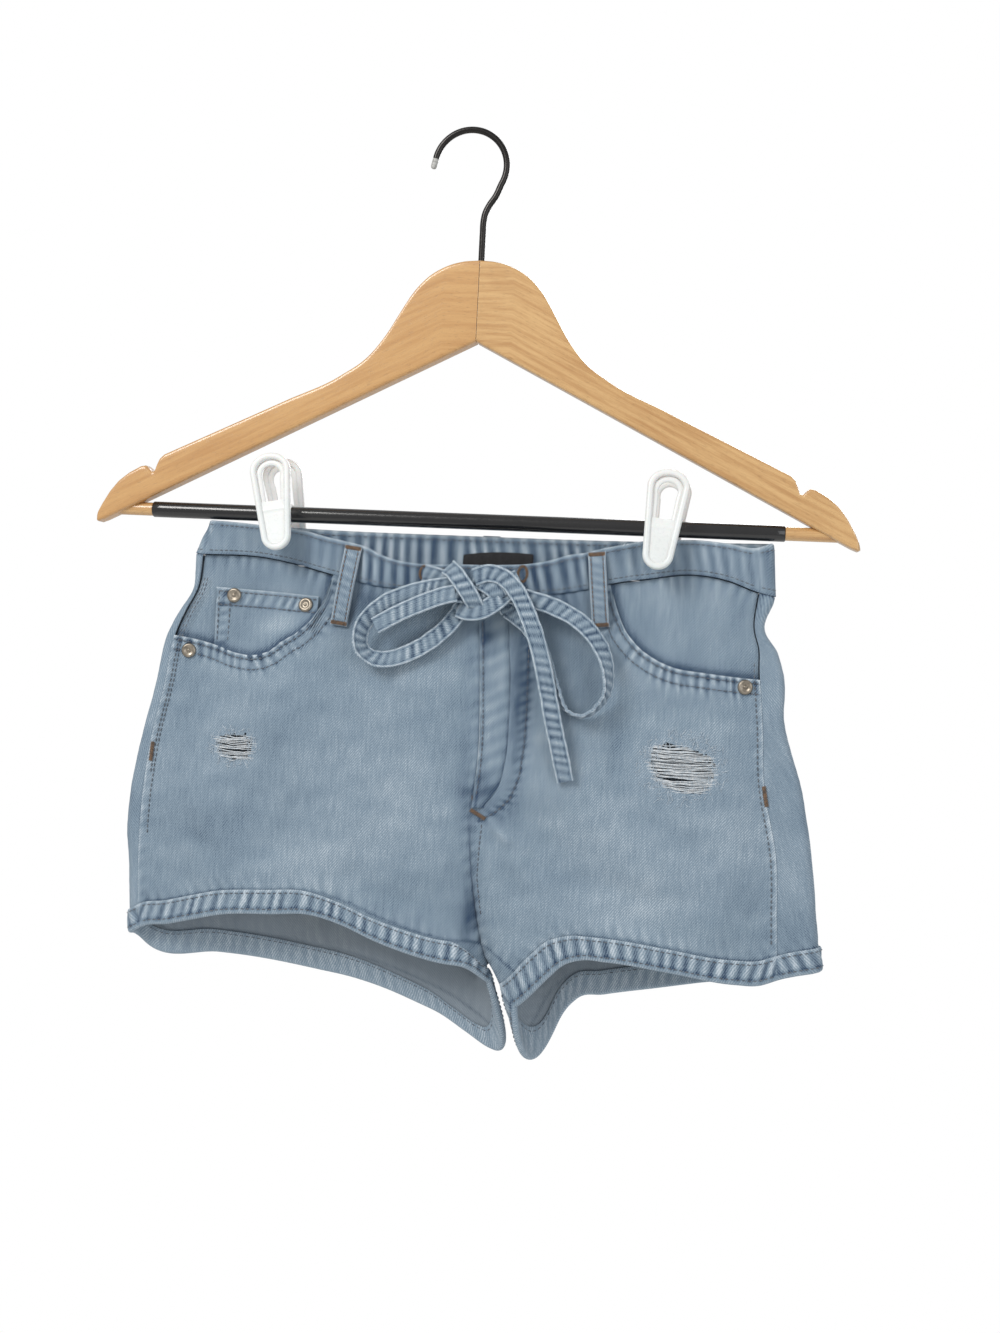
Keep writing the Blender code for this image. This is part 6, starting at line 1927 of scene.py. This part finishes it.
def rod(name, finish_name, slot, node, x0, x1, radius, sides=40):
    """A round bar along x, its two ends eased."""
    ease_by = min(0.6, radius * 0.2)
    profile = [(0.001, x0), (radius - ease_by, x0), (radius, x0 + ease_by), (radius, x1 - ease_by),
               (radius - ease_by, x1), (0.001, x1)]
    steps = np.linspace(x0 + ease_by, x1 - ease_by, 60)
    profile = profile[:2] + [(radius, float(s)) for s in steps] + profile[4:]
    points, faces = lathe((0.0, 0.0, BAR_Z), (1.0, 0.0, 0.0), profile, sides)
    uv = np.stack([points[:, 0], 5 * np.arctan2(points[:, 1], points[:, 2] - BAR_Z)], -1) / 100
    dress(build(name, points, faces, [finish_name], uv, sharp=50), slot, node)


def jaw_loop(inset, count=150):
    """A jaw's outline seen square on, head up, drawn in by inset: x and z in its own plane."""
    head, tip = CLIP_HEAD / 2 - inset, CLIP_TIP / 2 - inset
    top_at, low_at = -CLIP_HEAD / 2 * 0.85, -57.5 + CLIP_TIP / 2
    up, down = np.linspace(0, math.pi, 40), np.linspace(math.pi, 2 * math.pi, 40)
    loop = np.concatenate([
        np.stack([head * np.cos(up), top_at + (CLIP_HEAD / 2 * 0.85 - inset) * np.sin(up)], -1),
        np.stack([tip * np.cos(down), low_at + tip * np.sin(down)], -1),
        [[head, top_at]],
    ])
    return along_path(loop, count + 1)[:-1]


def make_clips():
    """Each jaw is a rounded rim all round, open at its head, with a recessed web from its
    middle down to its tip, and a second lip inside the opening."""
    for word, x0, z0, x1, z1 in CLIPS:
        lean = math.atan2(x1 - x0, z0 - z1)
        for sign, jaw in ((-1, "front"), (1, "back")):
            slope = math.radians(CLIP_SLOPE) * sign
            tip_z = 57.5 * math.cos(math.radians(CLIP_SLOPE))
            mid_y = JAW_GRIP + CLIP_THICK / 2 + 57.5 * math.sin(math.radians(CLIP_SLOPE))
            head_at = np.array([x1 - math.sin(lean) * tip_z, sign * mid_y, z1 + math.cos(lean) * tip_z])
            turn = np.array((Matrix.Rotation(-lean, 3, "Y") @ Matrix.Rotation(slope, 3, "X")))
            parts = [rim_of(1.9, 1.9, 2.35, 0.0), lip_of(sign), web_of(sign)]
            points, faces = joined(parts)
            points = points @ turn.T + head_at
            piece = build(f"clip_{word}_{jaw}_jaw", points, faces, ["white plastic"], sharp=50)
            dress(piece, "clip", f"clip_{word}_{jaw}")
        middle = x0 + (x1 - x0) * (z0 - BAR_Z) / (z0 - z1)
        inner, outer, half = BAR_RADIUS + 0.12, BAR_RADIUS + GAP + 1.1, 6.5
        profile = [(inner, -half), (outer - 0.3, -half), (outer, -half + 0.4), (outer, half - 0.4),
                   (outer - 0.3, half), (inner, half)]
        points, faces = lathe((middle, 0.0, BAR_Z), (1.0, 0.0, 0.0), profile + profile[:1], 40)
        dress(build(f"clip_{word}_collar", points, faces, ["white plastic"], sharp=50), "clip",
              f"clip_{word}_ring")


def rim_of(inset, wide, deep, y, count=150):
    """A closed tube of oval section along the jaw's outline."""
    loop = jaw_loop(inset, count)
    path = np.stack([loop[:, 0], np.full(count, y), loop[:, 1]], -1)
    along = np.roll(path, -1, axis=0) - np.roll(path, 1, axis=0)
    along /= np.linalg.norm(along, axis=-1, keepdims=True)
    out = np.array([0.0, 1.0, 0.0])
    across = np.cross(along, out)
    angle = np.linspace(0, 2 * math.pi, 20, endpoint=False)
    a = np.sign(np.cos(angle)) * np.abs(np.cos(angle)) ** 0.8 * wide
    t = np.sign(np.sin(angle)) * np.abs(np.sin(angle)) ** 0.8 * deep
    points = path[:, None] + across[:, None] * a[:, None] + out * t[:, None]
    return points.reshape(-1, 3), [grid_faces(count, 20, round_rows=True, round_columns=True)]


def lip_of(sign):
    """The inner wall of the opening: an arch set back behind the rim, open below."""
    turn = np.linspace(-0.35, math.pi + 0.35, 60)
    arch = np.stack([7.4 * np.cos(turn), -12.8 + 7.4 * np.sin(turn)], -1)
    legs = np.array([[6.1, -30.0]]), np.array([[-6.1, -30.0]])
    line = along_path(np.concatenate([legs[0], arch, legs[1]]), 80)
    path = np.stack([line[:, 0], np.full(80, -0.9 * sign), line[:, 1]], -1)
    _, out, across = frames(path, (0.0, 1.0, 0.0))
    return swept(path, out, across, circle(14), 1.0, np.full(80, 1.9))


def web_of(sign):
    """The recessed web: a thin plate that fills the outline from mid height to the tip."""
    z = np.linspace(-28.5, -54.0, 40)
    tip, head = CLIP_TIP / 2 - 1.9, CLIP_HEAD / 2 - 1.9
    share = np.clip((-z - 10.2) / (48.75 - 10.2), 0, 1)
    half = head + (tip - head) * share
    low = np.clip((-z - 48.75) / tip, 0, 1)
    half = half * np.sqrt(np.clip(1 - low**2, 0, 1)) + 0.2
    a = np.linspace(-1, 1, 16)
    points = np.stack([half[:, None] * a, np.full((40, 16), -0.35 * sign), z[:, None] + 0 * a], -1)
    points[..., 1] += sign * 0.25 * np.exp(-(((z + 33.5) / 0.8) ** 2))[:, None]
    thick, out = 1.1, np.array([0.0, 1.0, 0.0])
    count = 640
    both = np.concatenate([(points + out * thick).reshape(-1, 3), (points - out * thick).reshape(-1, 3)])
    top = grid_faces(40, 16)
    border = np.concatenate([np.arange(16), np.arange(2, 40) * 16 - 1, np.arange(639, 623, -1),
                             np.arange(38, 0, -1) * 16])
    after = np.roll(border, -1)
    rim = np.stack([border, border + count, after + count, after], -1)
    faces = [top, top[:, ::-1] + count, rim]
    if volume(both, faces) < 0:
        faces = [f[:, ::-1] for f in faces]
    return both, faces


make_panels()
make_hems()
make_waistbands()
make_facings()
make_coin_pocket()
make_fly()
make_loops()
make_label()
make_stitches()
make_frays()
make_rivets()
make_hook()
make_arms()
rod("bar_dowel_round", "right wood", "wood", "bar_dowel", -DOWEL_END, DOWEL_END, DOWEL_RADIUS)
rod("bar_sleeve_tube", "sleeve", "bar_sleeve", "bar_sleeve", *SLEEVE_ENDS, BAR_RADIUS)
make_clips()
light_stage()
